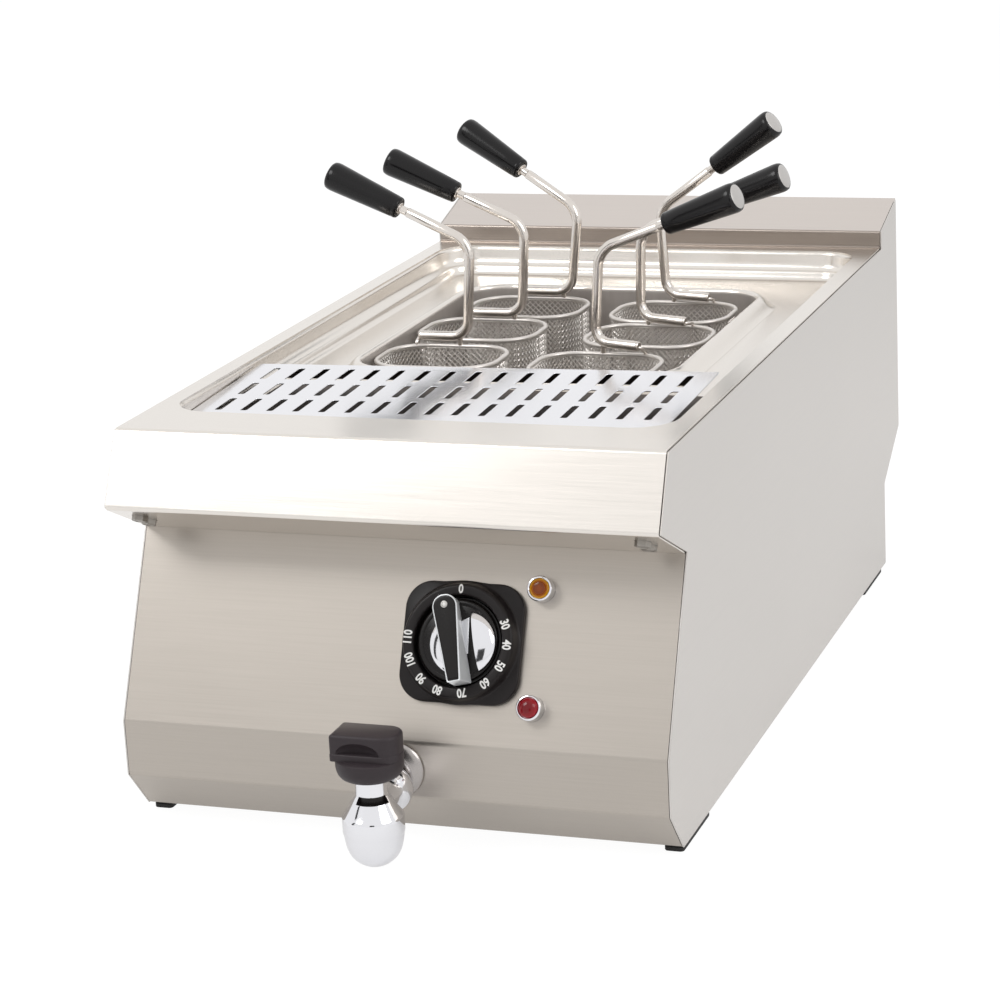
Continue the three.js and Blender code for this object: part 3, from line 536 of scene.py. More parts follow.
# Drip plate, loose in the recess and slightly askew
plate = {
    "spot": (-1.2, 144.2, 275), "turns": (2.06, -0.85, -0.42), "halfX": 179.2, "front": -88,
    "rear": 66, "radii": (26, 26, 2, 2), "thick": 1.5, "ease": 0.35,
    "columns": 17, "rows": 3, "pitchX": 20.1, "pitchY": 40.4, "slotX": 2.6, "slotY": 15,
    "slotEnd": 1.7, "border": 8, "dark": (0.1, 1.0),
    "lip": {"inset": 0.8, "short": 14, "half": 0.6, "round": 0.2, "low": -10.5, "high": -0.4},
}
onPlate = setDown(*plate["spot"])
for turn, axis in zip(reversed(plate["turns"]), "ZYX"):
    onPlate = onPlate @ turned(turn, axis)


def makePlate():
    bm = bmesh.new()
    ease = plate["ease"]
    middle, half = (plate["front"] + plate["rear"]) / 2, (plate["rear"] - plate["front"]) / 2
    rimFace = cornered(bm, 0, middle, plate["halfX"], half, plate["radii"], -ease, 8)
    opened(bm, pressed(bm, rimFace, [(0, -ease), (ease * 0.3, -ease * 0.3), (ease, 0)]))
    for column in range(plate["columns"]):
        for row in range(plate["rows"]):
            face = cornered(bm, (column - (plate["columns"] - 1) / 2) * plate["pitchX"],
                            (row - (plate["rows"] - 1) / 2) * plate["pitchY"],
                            plate["slotX"] + ease, plate["slotY"] + ease, plate["slotEnd"], 0, 3)
            opened(bm, pressed(bm, face, [(0, 0), (ease * 0.7, -ease * 0.3), (ease, -ease)]))
    loops = [edge for edge in bm.edges if len(edge.link_faces) == 1
             and max(abs(vert.co.z) for vert in edge.verts) < 0.001]
    bmesh.ops.triangle_fill(bm, use_beauty=True, use_dissolve=False, edges=loops,
                            normal=(0, 0, 1))
    turnedOut(bm, (0, 0, 1))
    thickened(bm, plate["thick"] - ease)
    border, (wallDark, edgeDark) = plate["border"], plate["dark"]
    for face in bm.faces:  # the underside and the lower half of the slots' walls get the dark finish: painted shade
        spot = face.calc_center_median()
        inside = (abs(spot.x) < plate["halfX"] - border
                  and plate["front"] + border < spot.y < plate["rear"] - border)
        face.material_index = int(-spot.z > (ease + wallDark if inside else edgeDark))
    edge = plate["lip"]
    lip = bmesh.new()  # the rear edge is turned down, and its inner face and underside get the dark finish: painted shade
    raised(lip, cornered(lip, 0, plate["rear"] - edge["inset"], plate["halfX"] - edge["short"],
                         edge["half"], edge["round"], edge["low"], 1),
           edge["high"] - edge["low"])
    outward(lip)
    for face in lip.faces:
        face.material_index = int(face.normal.y < -0.5 or face.normal.z < -0.5)
    finished("drip_plate_sheet", joined(bm, lip), ["plate", "shade"], "drip_plate",
             ["drip_plate"], onPlate, weigh=True)


makePlate()
print("drip plate ready")

# Baskets: woven cups on a rim wire, each with its rod handle and grip
basket = {
    "halfX": 49, "halfY": 37, "radius": 28, "rim": 258, "rimWire": 1.9, "head": 256.6,
    "foot": [(3.4, 113.2), (5.0, 111.0), (8.2, 109.6)], "headInset": 0.6, "pitch": 4.7,
    "cells": (26, 20), "arc": 12, "rimArc": 14, "crimp": 0.5, "strand": 1.3, "seam": 0.9,
    "seamY": -6, "seamLine": [(1, 256.5), (0.995, 250), (0.965, 180), (0.935, 114)],
    "footWire": (0.4, 1.1),
}
handleSizes = ("side", "spot", "rise", "stem", "tail", "turn", "lean", "stand", "reach", "lift",
               "swing")
baskets = {
    "front_left": (-1, (-74, 316), 8, 9, 31, 0, 5.7, 75, 64, 23.5, 4.3),
    "middle_left": (-1, (-73, 410), 6, 21.5, 20, 0, 5.6, 73, 62, 24, 1),
    "rear_left": (-1, (-63.2, 494), 6, 27.3, 13, 0, 8.5, 70, 62.5, 29, 15),
    "front_right": (1, (54.5, 304), 9.5, 10.9, 28.5, 16, 5.7, 72.5, 62.5, 21.4, -10),
    "middle_right": (1, (68.5, 403.3), 7, 17.5, 24.9, 18, 2.4, 70.5, 67.5, 21, -7),
    "rear_right": (1, (64.2, 488.3), 7, 16, 23, 13, -3.7, 71, 64.5, 35.8, -10),
}
rod = {
    "radius": 4, "bend": 13, "entry": 15, "peg": 2.2, "neck": 3.3, "neckFrom": -7.0,
    "ends": (0.6, 1.2, 0.8), "shares": {0: 0.72, 1: 0.93, -1: 0.86}, "pegEnds": (1.2, -2),
    "hook": {"from": -1, "out": 3.4, "step": (2.0, 1.0, -1.6), "drop": -1, "ends": (1.6, -0.4),
             "bend": 1.0, "radius": 1.5},
}
grip = {
    "black": [(5.2, 2.2), (5.6, 0.7), (6.2, 0.1), (7.2, 0), (8.1, 0.4), (8.6, 1.4), (8.7, 3.0),
              (8.6, 3.6), (8.8, 4.2), (9.4, 16), (10.1, 30), (10.8, 44), (11.3, 54),
              (11.5, 58.5), (11.35, 61.2), (10.8, 63), (9.9, 63.8), (9.3, 63.9)],
    "end": [(9.3, 63.9), (9.1, 64.1), (7.5, 64.5), (5, 64.9), (2.5, 65.1), (0, 65.2)],
    "ferrule": [(3.2, -0.9), (4.5, -0.9), (5.0, -0.5), (5.2, 0.6), (5.2, 2.4)],
}


def cupOutline(inset):  # the cup's half sizes and corner radius, drawn in by the inset
    return [basket[key] - inset for key in ("halfX", "halfY", "radius")]


def wovenCup():  # quads about as wide as a mesh opening, turned into a lattice of strands
    bm = bmesh.new()
    pitch, high = basket["pitch"], basket["head"]
    inset, low = basket["foot"][0]
    face = cornered(bm, 0, 0, *cupOutline(inset), low, basket["arc"])
    for edge in [edge for edge in face.edges if edge.calc_length() > 2 * pitch]:
        bmesh.ops.subdivide_edges(bm, edges=[edge], cuts=round(edge.calc_length() / pitch) - 1)
    face = bm.faces[:][0]
    face.normal_update()
    ring = pulled(bm, bmesh.ops.extrude_edge_only(bm, edges=list(face.edges))["geom"],
                  (0, 0, high - low))
    across, along = (head / foot for head, foot in zip(cupOutline(basket["headInset"])[:2],
                                                       cupOutline(inset)))
    bmesh.ops.scale(bm, verts=ring, vec=(across, along, 1))
    uprights = [edge for edge in bm.edges
                if abs(edge.verts[0].co.z - edge.verts[1].co.z) > high - low - 1]
    bmesh.ops.subdivide_edges(bm, edges=uprights, use_grid_fill=True,
                              cuts=round((high - low) / pitch) - 1)
    floor = max(bm.faces, key=lambda one: len(one.verts))
    opened(bm, pressed(bm, floor, basket["foot"]))
    inset, low = basket["foot"][-1]
    columns, rows = basket["cells"]
    grid = gridded(bm, columns, rows, columns * pitch / 2, rows * pitch / 2, low)
    outside = [one for one in {face for vert in grid for face in vert.link_faces}
               if beyond(one.calc_center_median(), *cupOutline(inset)) > 0]
    bmesh.ops.delete(bm, geom=outside, context="FACES")
    outward(bm)
    squares = [edge for edge in bm.edges if len(edge.link_faces) == 2]
    centres = bmesh.ops.poke(bm, faces=bm.faces[:], offset=0)["verts"]
    bmesh.ops.dissolve_edges(bm, edges=squares, use_verts=False, use_face_split=False)
    bm.normal_update()
    crossings = set(centres)
    for vert in bm.verts:
        vert.co += vert.normal * (basket["crimp"] if vert in crossings else -basket["crimp"])
    bmesh.ops.wireframe(bm, faces=bm.faces[:], thickness=basket["strand"], offset=0,
                        use_replace=True, use_boundary=True, use_even_offset=False)
    return bm


def rimLoop(inset, z):
    flat = bmesh.new()
    face = cornered(flat, 0, 0, *cupOutline(inset), z, basket["rimArc"])
    stops = [vert.co.copy() for vert in face.verts]
    flat.free()
    return stops


def rimBack(x):  # depth of the rim's rear run at this side
    past = max(abs(x) - basket["halfX"] + basket["radius"], 0)
    return basket["halfY"] - basket["radius"] + math.sqrt(basket["radius"] ** 2 - past ** 2)


def makeRim(place, onSpot, hand):
    bm = bmesh.new()
    tubed(bm, rimLoop(0, basket["rim"]), basket["rimWire"], True)
    seamX = -hand * basket["halfX"]
    tubed(bm, [(seamX * share, basket["seamY"], z) for share, z in basket["seamLine"]],
          basket["seam"])
    inset, low = basket["foot"][-1]
    rise, radius = basket["footWire"]
    tubed(bm, rimLoop(inset, low + rise), radius, True, 2)
    finished("basket_rim_" + place, bm, "wire", "basket_" + place, [], onSpot, 50)


def makeHandle(place, look, onSpot):
    hand = look["side"]
    turn, lift, swing = (math.radians(look[key]) for key in ("turn", "lift", "swing"))
    height = basket["rim"] + look["rise"]
    stem = Vector((-hand * look["stem"], basket["halfY"], height))
    out = Vector((hand * math.cos(turn), -math.sin(turn), 0))
    way = Vector((hand * math.cos(lift) * math.cos(swing), math.cos(lift) * math.sin(swing),
                  math.sin(lift)))
    head = stem + Vector((look["lean"], 0, look["stand"]))
    start = head + way * look["reach"]
    length = look["stem"] + look["tail"]
    bm = bmesh.new()
    route = bent([stem + out * length, stem, head, start + way * rod["neckFrom"]],
                 [rod["bend"]] * 2)
    first, last = (route[1] - route[0]).normalized(), route[-1]
    past, inward, short = rod["ends"]
    tubed(bm, [route[0] - first * past, route[0], route[0] + first * inward] + route[1:-1]
          + [last - way * short, last], rod["radius"], tips=rod["shares"])
    tubed(bm, [last - way * 2, start + way * rod["entry"]], rod["neck"])
    low, high = basket["rim"] + rod["pegEnds"][0], height + rod["pegEnds"][1]
    inner = stem + out * 3 * rod["peg"]
    tubed(bm, [(inner.x, rimBack(inner.x), z) for z in (low, high)], rod["peg"], around=3)
    hook = rod["hook"]
    outer = stem + out * (length + hook["from"])
    x, (across, back, down) = outer.x + hand * hook["out"], hook["step"]
    tubed(bm, bent([outer + Vector((0, 0, hook["drop"])),
                    outer + Vector((hand * across, back, down)),
                    *[(x, rimBack(x), low + end) for end in hook["ends"]]],
                   [hook["bend"]] * 2, 4), hook["radius"], around=3)
    finished("handle_rod_" + place, bm, "rod", "basket_" + place, ["handle_" + place],
             onSpot, 50)
    onGrip = onSpot @ Matrix.Translation(start) @ facing(way)
    for part, steps, coat, nodes, slot in (
            ("ferrule", 32, "rod", [], "wire_steel"),
            ("black", 40, "gripBlack", ["grip_" + place], "black_gloss"),
            ("end", 40, "gripEnd", [], "black_gloss")):
        finished("grip_" + part + "_" + place, spun(grip[part], steps), coat, "basket_" + place,
                 nodes, onGrip, 40)


woven = wovenCup()
for place, sizes in baskets.items():
    look = dict(zip(handleSizes, sizes))
    onSpot = setDown(*look["spot"])
    finished("basket_weave_" + place, woven.copy(), "wire", "basket_" + place,
             ["basket_" + place], onSpot, 50)
    makeRim(place, onSpot, look["side"])
    makeHandle(place, look, onSpot)
woven.free()
print("baskets ready")

# Dial, knob and lamps, drawn flat on the sloping panel with their height outwards
dial = {
    "spot": (48, 5.18, 135.35), "slope": (127, 60.5),
    "base": (43, 41.5, 19), "edge": [(0, 0.3), (0, 3.6), (0.35, 4.5), (1.0, 4.9)],
    "rings": [(42.6, 5.3), (41.4, 6.4), (40.6, 8.2), (40.0, 10.6), (39.4, 12.4), (38.7, 13.4),
              (37.8, 13.9), (36.6, 14.0), (33.0, 13.9), (32.2, 13.5), (31.6, 12.6), (31.3, 10.5),
              (31.3, 2.6), (31.0, 2.2)],
    "digits": {"0": -1, "30": 68.2, "40": 90.9, "50": 115.2, "60": 140.2, "70": 168.7,
               "80": 197.4, "90": 220.6, "100": 245.4, "110": 270.8},
    "digitSize": 8.4, "digitWidth": 0.8, "digitReach": 35.4, "digitBold": 0.24,
    "digitDepth": 0.05, "face": 14.0, "steps": 16,
}
knob = {
    "rest": 13,
    "skirt": [(0, 3.0), (29.8, 3.0), (30.3, 3.5), (30.3, 8.4), (29.9, 9.2), (28.9, 9.4),
              (28.5, 9.8), (28.5, 11.4), (28.1, 12.4), (27.2, 12.9), (25.2, 13.0), (24.6, 12.7),
              (24.0, 13.0), (0, 13.0)],
    "bar": {"foot": -30, "head": 30, "footHalf": 6.4, "headHalf": 4.4, "low": 12.9,
            "topFoot": 4.8, "topHead": 9.5, "high": 31.4},
    "crown": [(0, 0), (0.25, 0.35), (0.7, 0.45), (1.0, 0.35)],
    "face": {"inset": 0.95, "length": 0.968, "rise": 0.5,
             "crown": [(0, 0), (0.4, 0.12), (1.5, 0.2)]},
    "pointer": {"y": 23.0, "rise": 0.6,
                "ring": [(2.4, 0), (2.4, 0.3), (2.1, 0.5), (1.5, 0.5), (1.3, 0.2)],
                "spot": [(1.3, 0), (1.2, 0.3), (0.5, 0.55), (0, 0.6)]},
    "seat": 13.05,
    "domes": {"left": (-1, 1.9, -2.0, 22.3, 6.0, 9.0), "right": (1, 5.0, -2.4, 22.6, 7.4, 13.2)},
    "sliver": [(4.6, -10.6), (7.2, -10.0), (11.3, 14.2), (4.6, 12.4)], "sliverRise": 2.4,
    "sliverCrown": [(0, 0), (0.25, 0.25), (0.7, 0.35)],
}
onPanel = setDown(*dial["spot"]) @ Matrix.Rotation(math.atan2(*dial["slope"]), 4, "X")


def makeDial():
    bm = bmesh.new()
    steps = dial["steps"]
    face = cornered(bm, 0, 0, *dial["base"], dial["edge"][0][1], steps)
    loop = opened(bm, pressed(bm, face, dial["edge"]))
    for radius, z in dial["rings"]:
        ring = circled(bm, radius, z, 4 * (steps + 1))
        bridged(bm, loop, ring)
        loop = ring
    capped(bm)
    outward(bm)
    finished("dial_bezel_ring", bm, "dialBlack", "cooker", ["dial_bezel"],
             onPanel, 40, True)


def makeDigits():
    whole = bmesh.new()
    for word, bearing in dial["digits"].items():
        text = bpy.data.curves.new("figure", "FONT")
        text.body = word
        text.size = dial["digitSize"]
        text.align_x, text.align_y = "CENTER", "CENTER"
        text.offset = dial["digitBold"]
        text.extrude = dial["digitDepth"]
        text.resolution_u = 4
        holder = bpy.data.objects.new("figure", text)
        mesh = bpy.data.meshes.new_from_object(holder)
        mesh.transform(turned(-bearing)
                       @ Matrix.Translation((0, dial["digitReach"], dial["face"]))
                       @ Matrix.Diagonal((dial["digitWidth"], 1, 1, 1)))
        whole.from_mesh(mesh)
        bpy.data.objects.remove(holder)
        bpy.data.meshes.remove(mesh)
        bpy.data.curves.remove(text)
    finished("dial_figures", whole, "white", "cooker", [], onPanel, 30)


def barOutline(bm, footHalf, headHalf, z):
    low, high = knob["bar"]["foot"], knob["bar"]["head"]
    verts = [bm.verts.new(spot) for spot in ((-footHalf, low, z), (footHalf, low, z),
                                             (headHalf, high, z), (-headHalf, high, z))]
    return rounded(bm, verts, (1.0, 1.0, headHalf * 0.97, headHalf * 0.97), 8)


def makeBar(onKnob):
    bar = knob["bar"]
    bm = bmesh.new()
    low = barOutline(bm, bar["footHalf"], bar["headHalf"], bar["low"])
    high = barOutline(bm, bar["topFoot"], bar["topHead"], bar["high"])
    highLoop = list(high.edges)
    opened(bm, pressed(bm, high, knob["crown"]))
    bridged(bm, opened(bm, low), highLoop)
    capped(bm)
    outward(bm)
    finished("knob_bar_silver", bm, "barSilver", "knob", [], onKnob, 40)
    bm, look = bmesh.new(), knob["face"]
    top = barOutline(bm, *(bar[key] - look["inset"] for key in ("topFoot", "topHead")),
                     bar["high"])
    for vert in top.verts:
        vert.co.y *= look["length"]
    pressed(bm, raised(bm, top, look["rise"]), look["crown"])
    outward(bm)
    finished("knob_bar_face", bm, "knobBlack", "knob", [], onKnob, 40)
    look = knob["pointer"]
    onBar = onKnob @ Matrix.Translation((0, look["y"], bar["high"] + look["rise"]))
    finished("knob_pointer_ring", spun(look["ring"], 32), "gripEnd", "knob", [],
             onBar, 40)
    finished("knob_pointer_spot", spun(look["spot"], 32), "white", "knob", ["knob_pointer"],
             onBar, 40)


def makeDomes(onKnob):
    seat = knob["seat"]
    for name, (hand, x, y, radius, height, side) in knob["domes"].items():
        bm = bmesh.new()
        bmesh.ops.create_uvsphere(bm, u_segments=64, v_segments=32, radius=radius)
        bmesh.ops.scale(bm, verts=bm.verts[:], vec=(1, 1, height / radius))
        bmesh.ops.translate(bm, verts=bm.verts[:], vec=(x, y, seat))
        for spot, way in (((hand * side, 0, 0), (-hand, 0, 0)), ((0, 0, seat), (0, 0, -1))):
            cut(bm, spot, way, True)
            capped(bm)
        outward(bm)
        eased(bm, 0.5, 3, 50)
        finished("knob_dome_" + name + "_cap", bm, "chrome", "knob",
                 ["knob_dome_" + name], onKnob, 40)
    bm = bmesh.new()
    face = facedUp(bm.faces.new([bm.verts.new((x, y, knob["bar"]["low"]))
                                 for x, y in knob["sliver"]]))
    pressed(bm, raised(bm, face, knob["sliverRise"]), knob["sliverCrown"])
    outward(bm)
    finished("knob_side_plate", bm, "chrome", "knob", [], onKnob, 40)


def makeKnob():
    onKnob = onPanel @ turned(knob["rest"])
    finished("knob_skirt", spun(knob["skirt"], 72), "knobBlack", "knob", ["knob"],
             onKnob, 40)
    makeBar(onKnob)
    makeDomes(onKnob)


# the lenses' ring colours, lighter towards the edge, are painted light through the dome
lamps = {
    "x": 53.5, "reach": 8,
    "bezel": [(0, -6), (5.5, -6), (5.5, 0.3), (8.7, 0.3), (9.0, 0.8), (9.0, 8.4), (8.8, 9.3),
              (8.2, 9.9), (7.6, 10.0), (7.2, 9.7), (7.1, 9.0), (7.1, 7.3), (0, 7.3)],
    "amber": {"y": 39.5, "profile": [(0, 7.35), (6.9, 7.35), (6.95, 8.9), (6.6, 9.4), (5.6, 9.7),
                                     (5.2, 9.2), (4.7, 9.2), (4.2, 9.9), (2.0, 10.2), (0, 10.3)],
              "edge": (200, 130, 24), "glow": 0.04,
              "rings": [(0.0, (150, 70, 8)), (0.45, (124, 54, 6)),
                        (0.62, (168, 88, 10)), (0.86, (214, 156, 26))]},
    "red": {"y": -41.5, "profile": [(0, 7.35), (6.9, 7.35), (6.9, 9.0), (6.5, 10.3), (5.5, 11.6),
                                    (4.2, 12.6), (2.4, 13.3), (0, 13.5)],
            "edge": (140, 10, 26), "glow": 0.03,
            "rings": [(0.0, (120, 6, 20)), (0.5, (112, 5, 18)),
                      (0.75, (146, 10, 26)), (0.95, (180, 44, 60))]},
}


def makeLamps():
    for colour in ("amber", "red"):
        look = lamps[colour]
        onLamp = onPanel @ Matrix.Translation((lamps["x"], look["y"], 0))
        finished("lamp_" + colour + "_collar", spun(lamps["bezel"], 48), "chrome",
                 "cooker", ["lamp_" + colour + "_bezel"], onLamp, 35)
        look["centre"] = tuple(onLamp @ Vector((0, 0, 10)))
        paint[colour] = lensed(colour + "Lens", look, lamps["reach"])
        finished("lamp_" + colour + "_glass", spun(look["profile"], 48), colour, "cooker",
                 ["lamp_" + colour + "_lens"], onLamp, 35)


makeDial()
makeDigits()
makeKnob()
makeLamps()
print("dial, knob and lamps ready")

# Hex bolts with washers under the nose
bolts = {
    "spot": (0, 35.5, 199), "slope": (-29.5, 60.5),
    "spots": [(-182, 46.3), (-182, 31.3), (182, 46.3), (182, 31.3)], "turns": (12, 41, 25, 3),
    "washer": [(0, 0.3), (6.4, 0.3), (6.5, 0.8), (6.1, 1.25), (5.4, 1.3), (0, 1.3)],
    "head": 5.6, "low": 1.3, "high": 3.3, "crown": [(0, 0), (0.7, 0.5), (1.3, 0.5), (1.6, 0.2)],
}
onUndercut = setDown(*bolts["spot"]) @ Matrix.Rotation(
    math.pi + math.atan2(*bolts["slope"]), 4, "X")
for index, ((x, reach), turn) in enumerate(zip(bolts["spots"], bolts["turns"]), 1):
    bm = bmesh.new()
    bmesh.ops.create_circle(bm, cap_ends=True, radius=bolts["head"], segments=6,
                            matrix=Matrix.Translation((0, 0, bolts["low"])))
    pressed(bm, raised(bm, facedUp(bm.faces[:][0]), bolts["high"]), bolts["crown"])
    bm.transform(turned(turn))
    outward(bm)
    finished("nose_bolt_head_" + str(index), joined(spun(bolts["washer"], 32), bm), "bolt",
             "cooker", ["nose_bolt_" + str(index)],
             onUndercut @ Matrix.Translation((x, reach, 0)), 30)
print("bolts ready")

# Drain tap: wall flange, union, body with its stop slot, and the quarter-turn handle
tap = {
    "spot": (5.5, -72, 0), "wall": (5.5, -25, 52), "union": (5.5, -25, 44),
    "flange": [(9.4, 0.3), (19.8, 0.3), (20.2, 0.8), (19.9, 1.6), (18.6, 2.9), (16.2, 4.2),
               (13.4, 5.3), (11.6, 6.0), (9.4, 6.0)],
    "bulb": [(0, 6.6), (10.4, 6.6), (12.4, 7.2), (14.6, 8.9), (16.1, 11.6), (16.8, 15.0),
             (16.5, 18.2), (15.5, 21.2), (13.8, 24.4), (12.2, 27.6), (12, 30), (12, 44), (0, 44)],
    "body": [(0, 17.5), (6.6, 17.5), (7.0, 17.0), (7.0, 3.4), (7.4, 2.9), (8.3, 2.8), (9.2, 3.1),
             (10.9, 4.1), (13.2, 5.9), (15.0, 7.7), (16.6, 9.8), (17.8, 12.1), (18.8, 14.8),
             (19.6, 18.0), (20.2, 21.4), (20.5, 24.3), (20.5, 24.9), (20.9, 25.4), (21.1, 26.6),
             (21.1, 36.2), (20.9, 37.4), (20.3, 38.4), (19.5, 39.4), (17.6, 42.4), (14.9, 46.8),
             (12.9, 50.2), (11.9, 51.8), (11.2, 52.8), (10.9, 54.2), (10.8, 66.0), (0, 66.0)],
    "slot": {"inner": 10.2, "outer": 24.0, "low": 48.4, "high": 53.4, "from": -2.1, "sweep": 1.85},
    "bowl": [(0, 64.6), (14.8, 64.6), (17.8, 65.2), (20.2, 66.6), (21.9, 68.8), (22.8, 71.4),
             (23.2, 74.0), (23.2, 77.6), (22.9, 78.7), (22.0, 79.2), (20.5, 79.4), (0, 79.4)],
    "grips": {
        "ledge": (23.8, 14.3, (3, 13, 13, 3), 79.0, 84.2, [(0, 0), (0.3, 0.6), (1.1, 1.0)]),
        "wings": (23.4, 13.9, (2.4, 12, 12, 3), 82.0, 97.4,
                  [(0, 0), (0.3, 1.0), (1.0, 1.8), (2.2, 2.2)])},
    "scoop": {"spot": (3.0, 16.0, 84.4), "reach": (16.5, 7.0, 8.5)},
}


def sliced(piece, cutter):  # takes the cutter out of the piece
    knife = piece.modifiers.new("slot", "BOOLEAN")
    knife.object = cutter
    knife.solver = "EXACT"
    knife.material_mode = "TRANSFER"
    bpy.context.view_layer.update()
    result = bpy.data.meshes.new_from_object(
        piece.evaluated_get(bpy.context.evaluated_depsgraph_get()))
    piece.modifiers.remove(knife)
    piece.data = result
    bpy.data.objects.remove(cutter)


def makeTap(onTap):
    finished("tap_wall_flange", spun(tap["flange"] + tap["flange"][:1], 56), "flange",
             "cooker", ["tap_flange"], setDown(*tap["wall"]) @ turned(90, "X"),
             40)
    finished("tap_union", spun(tap["bulb"], 56), "chrome", "cooker", [],
             setDown(*tap["union"]) @ turned(90, "X"), 40)
    slot = tap["slot"]
    bm = bmesh.new()
    bm.faces.new([bm.verts.new((slot[side], 0, slot[level])) for side, level in (
        ("inner", "low"), ("outer", "low"), ("outer", "high"), ("inner", "high"))])
    bm.transform(Matrix.Rotation(slot["from"], 4, "Z"))
    bmesh.ops.spin(bm, geom=bm.faces[:] + bm.edges[:] + bm.verts[:], cent=(0, 0, 0),
                   axis=(0, 0, 1), dvec=(0, 0, 0), angle=slot["sweep"], steps=16,
                   use_merge=False)
    outward(bm)
    bm.transform(onTap)
    body = finished("tap_bowl", spun(tap["body"], 64), "chrome", "cooker", ["tap_body"],
                    onTap, 40)
    sliced(body, placed("slotTool", bm, "dialBlack"))


def makeTapHandle(onTap):
    finished("tap_handle_bowl", spun(tap["bowl"], 56), "handleBlack", "tap_handle",
             ["tap_handle"], onTap, 40)
    for name, (halfX, halfY, radii, low, high, edge) in tap["grips"].items():
        bm = bmesh.new()
        face = cornered(bm, 0, 0, halfX, halfY, radii, low, 6)
        pressed(bm, raised(bm, face, high - low - edge[-1][1]), edge)
        outward(bm)
        block = finished("tap_handle_" + name, bm, "handleBlack", "tap_handle", [],
                         onTap, 40)
    x, y, z = tap["scoop"]["spot"]
    bm = bmesh.new()
    for hand in (-1, 1):
        bmesh.ops.create_uvsphere(bm, u_segments=48, v_segments=24, radius=1, matrix=(
            Matrix.Translation((hand * x, hand * y, z))
            @ Matrix.Diagonal((*tap["scoop"]["reach"], 1))))
    bm.transform(onTap)
    sliced(block, placed("scoopTool", bm, "handleBlack"))


onTap = setDown(*tap["spot"])
makeTap(onTap)
makeTapHandle(onTap)
print("tap ready")

# Rubber feet
feet = {"outline": (7, 34.5, 3), "high": -0.05,
        "sole": [(0, 0), (0, 1.6), (0.7, 1.9), (0.7, 2.5), (0, 2.8), (0, 5.2), (0.25, 5.75),
                 (0.8, 5.95)],
        "spots": {"front_left": (-191, 42.5), "front_right": (191, 42.5),
                  "rear_left": (-191, 615.5), "rear_right": (191, 615.5)}}
for place, spot in feet["spots"].items():
    bm = bmesh.new()
    face = cornered(bm, *spot, *feet["outline"], feet["high"], 5)
    face.normal_flip()
    pressed(bm, face, feet["sole"])
    capped(bm)
    outward(bm)
    finished("foot_pad_" + place, bm, "rubber", "cooker", ["foot_" + place],
             sharp=30)

# Pieces that keep their drawn shape and get a finish of their own
kept = {
    "zinc": ["back_panel", "base_pan", "thermostat_body", "element_flange"],
    "tank": ["basket_grid"],
    "rod": ["heating_element", "drain_pipe", "thermostat_bulb"],
    "blackBody": ["limit_thermostat", "contactor", "cable_gland"],
    "ceramic": ["terminal_block"],
}
for finish, names in kept.items():
    for name in names:
        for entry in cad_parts[name].material_slots:
            entry.link = "OBJECT"
            entry.material = paint[finish]
print("kept pieces painted")

# Camera, matched to the photograph's perspective
view = {"spot": (0.7321, -2.1244, 0.7953), "yaw": 19.765, "pitch": 15.934, "roll": -2.949,
        "lens": 108.07, "sensor": 36, "clip": (0.05, 60)}
lensData = bpy.data.cameras.new("camera")
lensData.lens = view["lens"]
lensData.sensor_width = view["sensor"]
lensData.clip_start, lensData.clip_end = view["clip"]
camera = bpy.data.objects.new("camera", lensData)
scene.collection.objects.link(camera)
camera.matrix_world = (Matrix.Translation(view["spot"]) @ turned(view["yaw"])
                       @ turned(90 - view["pitch"], "X") @ turned(view["roll"]))
scene.camera = camera

# Studio: pale floor, white surround, black cards that only gloss shows, and soft lamps
studio = {
    "ambient": 0.55, "floorHalf": 9.0, "floorShare": 0.86, "floorGloss": 0.6, "aim": (0, 0, 0.2),
    "lamps": {"key": ((-1.6, -1.8, 2.6), 1.6, 34), "fill": ((2.4, -0.9, 1.9), 1.8, 22),
              "top": ((0.1, 0.4, 3.0), 2.0, 26)},
    "flags": {"front": ((0.66, -2.7, 0.62), 0.36, 0.5), "left": ((-1.5, -1.3, 0.5), 0.14, 0.6)},
    "flagTone": 0.03, "floorTone": 0.86, "floorGlow": 1.1,
}


def aimed(spot, axis):  # turns the axis towards the middle of the part
    return facing(Vector(studio["aim"]) - Vector(spot), axis)


def seen(flow, share=1.0):  # what the camera and glass look at, and gloss by its share
    rays = flow.node("ShaderNodeLightPath").socket.node.outputs
    eye, gloss, glass = (Flow(flow.tree, rays["Is " + kind + " Ray"])
                         for kind in ("Camera", "Glossy", "Transmission"))
    return flow.maths("MAXIMUM", flow.maths("MAXIMUM", eye, gloss * share), glass)


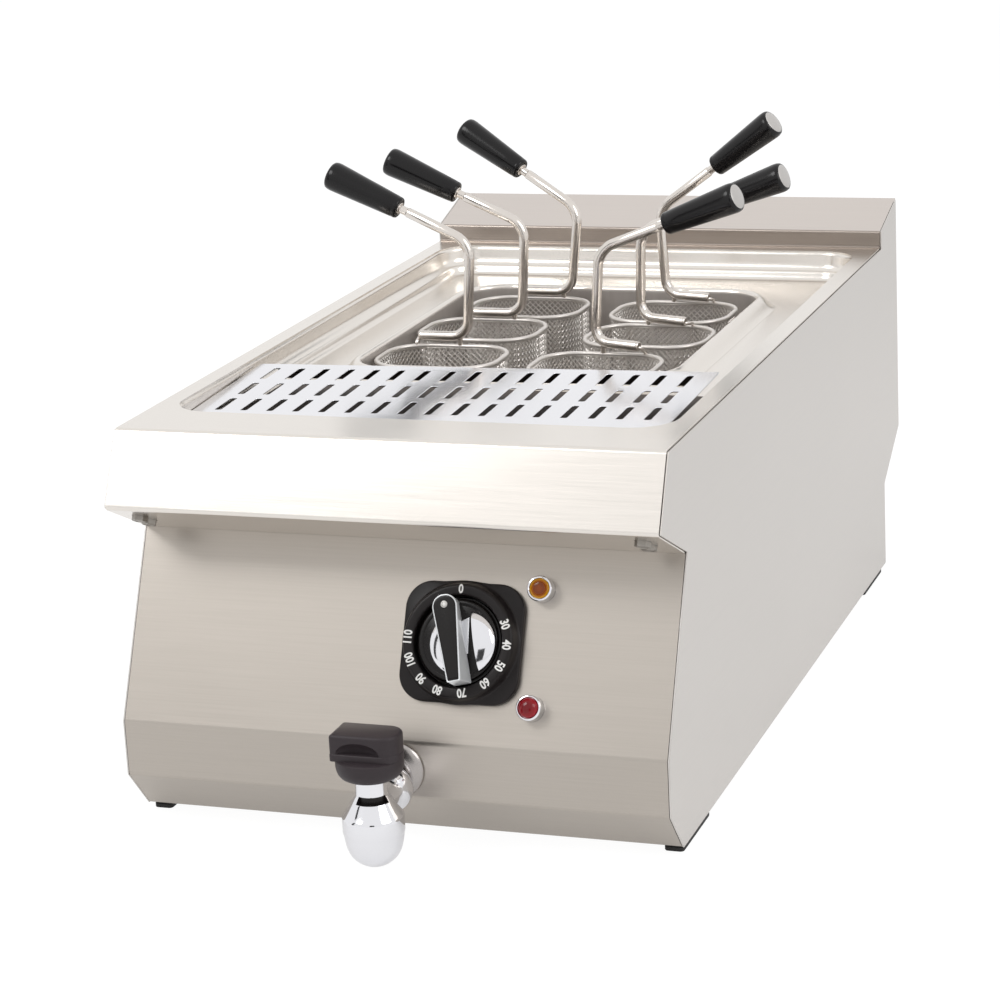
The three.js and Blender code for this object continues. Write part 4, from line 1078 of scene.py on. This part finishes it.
def bare(owner, kind):  # an emptied node tree with its output
    owner.use_nodes = True
    tree = owner.node_tree
    tree.nodes.clear()
    output = tree.nodes.new(kind)
    return Flow(tree, None), output.inputs["Surface"]


def makeSurround():
    scene.world = bpy.data.worlds.new("surround")
    start, surface = bare(scene.world, "ShaderNodeOutputWorld")
    glow = start.node("ShaderNodeBackground", {}, {
        "Color": (1, 1, 1, 1),
        "Strength": seen(start) * (1 - studio["ambient"]) + studio["ambient"]})
    start.tree.links.new(glow.socket, surface)


def makeFloor():
    paint["floor"] = bpy.data.materials.new("paleFloor")
    start, surface = bare(paint["floor"], "ShaderNodeOutputMaterial")
    matt = start.node("ShaderNodeBsdfDiffuse", {}, {"Color": (*[studio["floorTone"]] * 3, 1)})
    white = start.node("ShaderNodeEmission", {}, {
        "Color": (1, 1, 1, 1), "Strength": studio["floorGlow"]})
    mixed = start.node("ShaderNodeMixShader", {}, {
        0: seen(start, studio["floorGloss"]) * studio["floorShare"], 1: matt, 2: white})
    start.tree.links.new(mixed.socket, surface)
    bm = bmesh.new()
    gridded(bm, 2, 2, studio["floorHalf"], studio["floorHalf"])
    floor = placed("floor", bm, "floor")


def makeFlags():
    paint["flag"] = dark = bpy.data.materials.new("flagBlack")
    dark.use_nodes = True
    dark.node_tree.nodes["Principled BSDF"].inputs["Base Color"].default_value = (
        *[studio["flagTone"]] * 3, 1)
    for name, (spot, halfX, halfZ) in studio["flags"].items():
        bm = bmesh.new()
        gridded(bm, 1, 1, halfX, halfZ)
        bm.transform(Matrix.Translation(spot) @ aimed(spot, "Z"))
        flag = placed("flag_" + name, bm, "flag")
        flag.visible_camera = flag.visible_diffuse = flag.visible_transmission = False
        flag.visible_shadow = flag.visible_volume_scatter = False


def lightUp():
    for name, (spot, size, power) in studio["lamps"].items():
        lamp = bpy.data.lights.new(name, "AREA")
        lamp.shape = "DISK"
        lamp.size = size
        lamp.energy = power
        holder = bpy.data.objects.new(name, lamp)
        holder.location = spot
        holder.rotation_euler = aimed(spot, "-Z").to_euler()
        holder.visible_glossy = name != "top"
        scene.collection.objects.link(holder)


makeSurround()
makeFloor()
makeFlags()
lightUp()
print("studio ready")
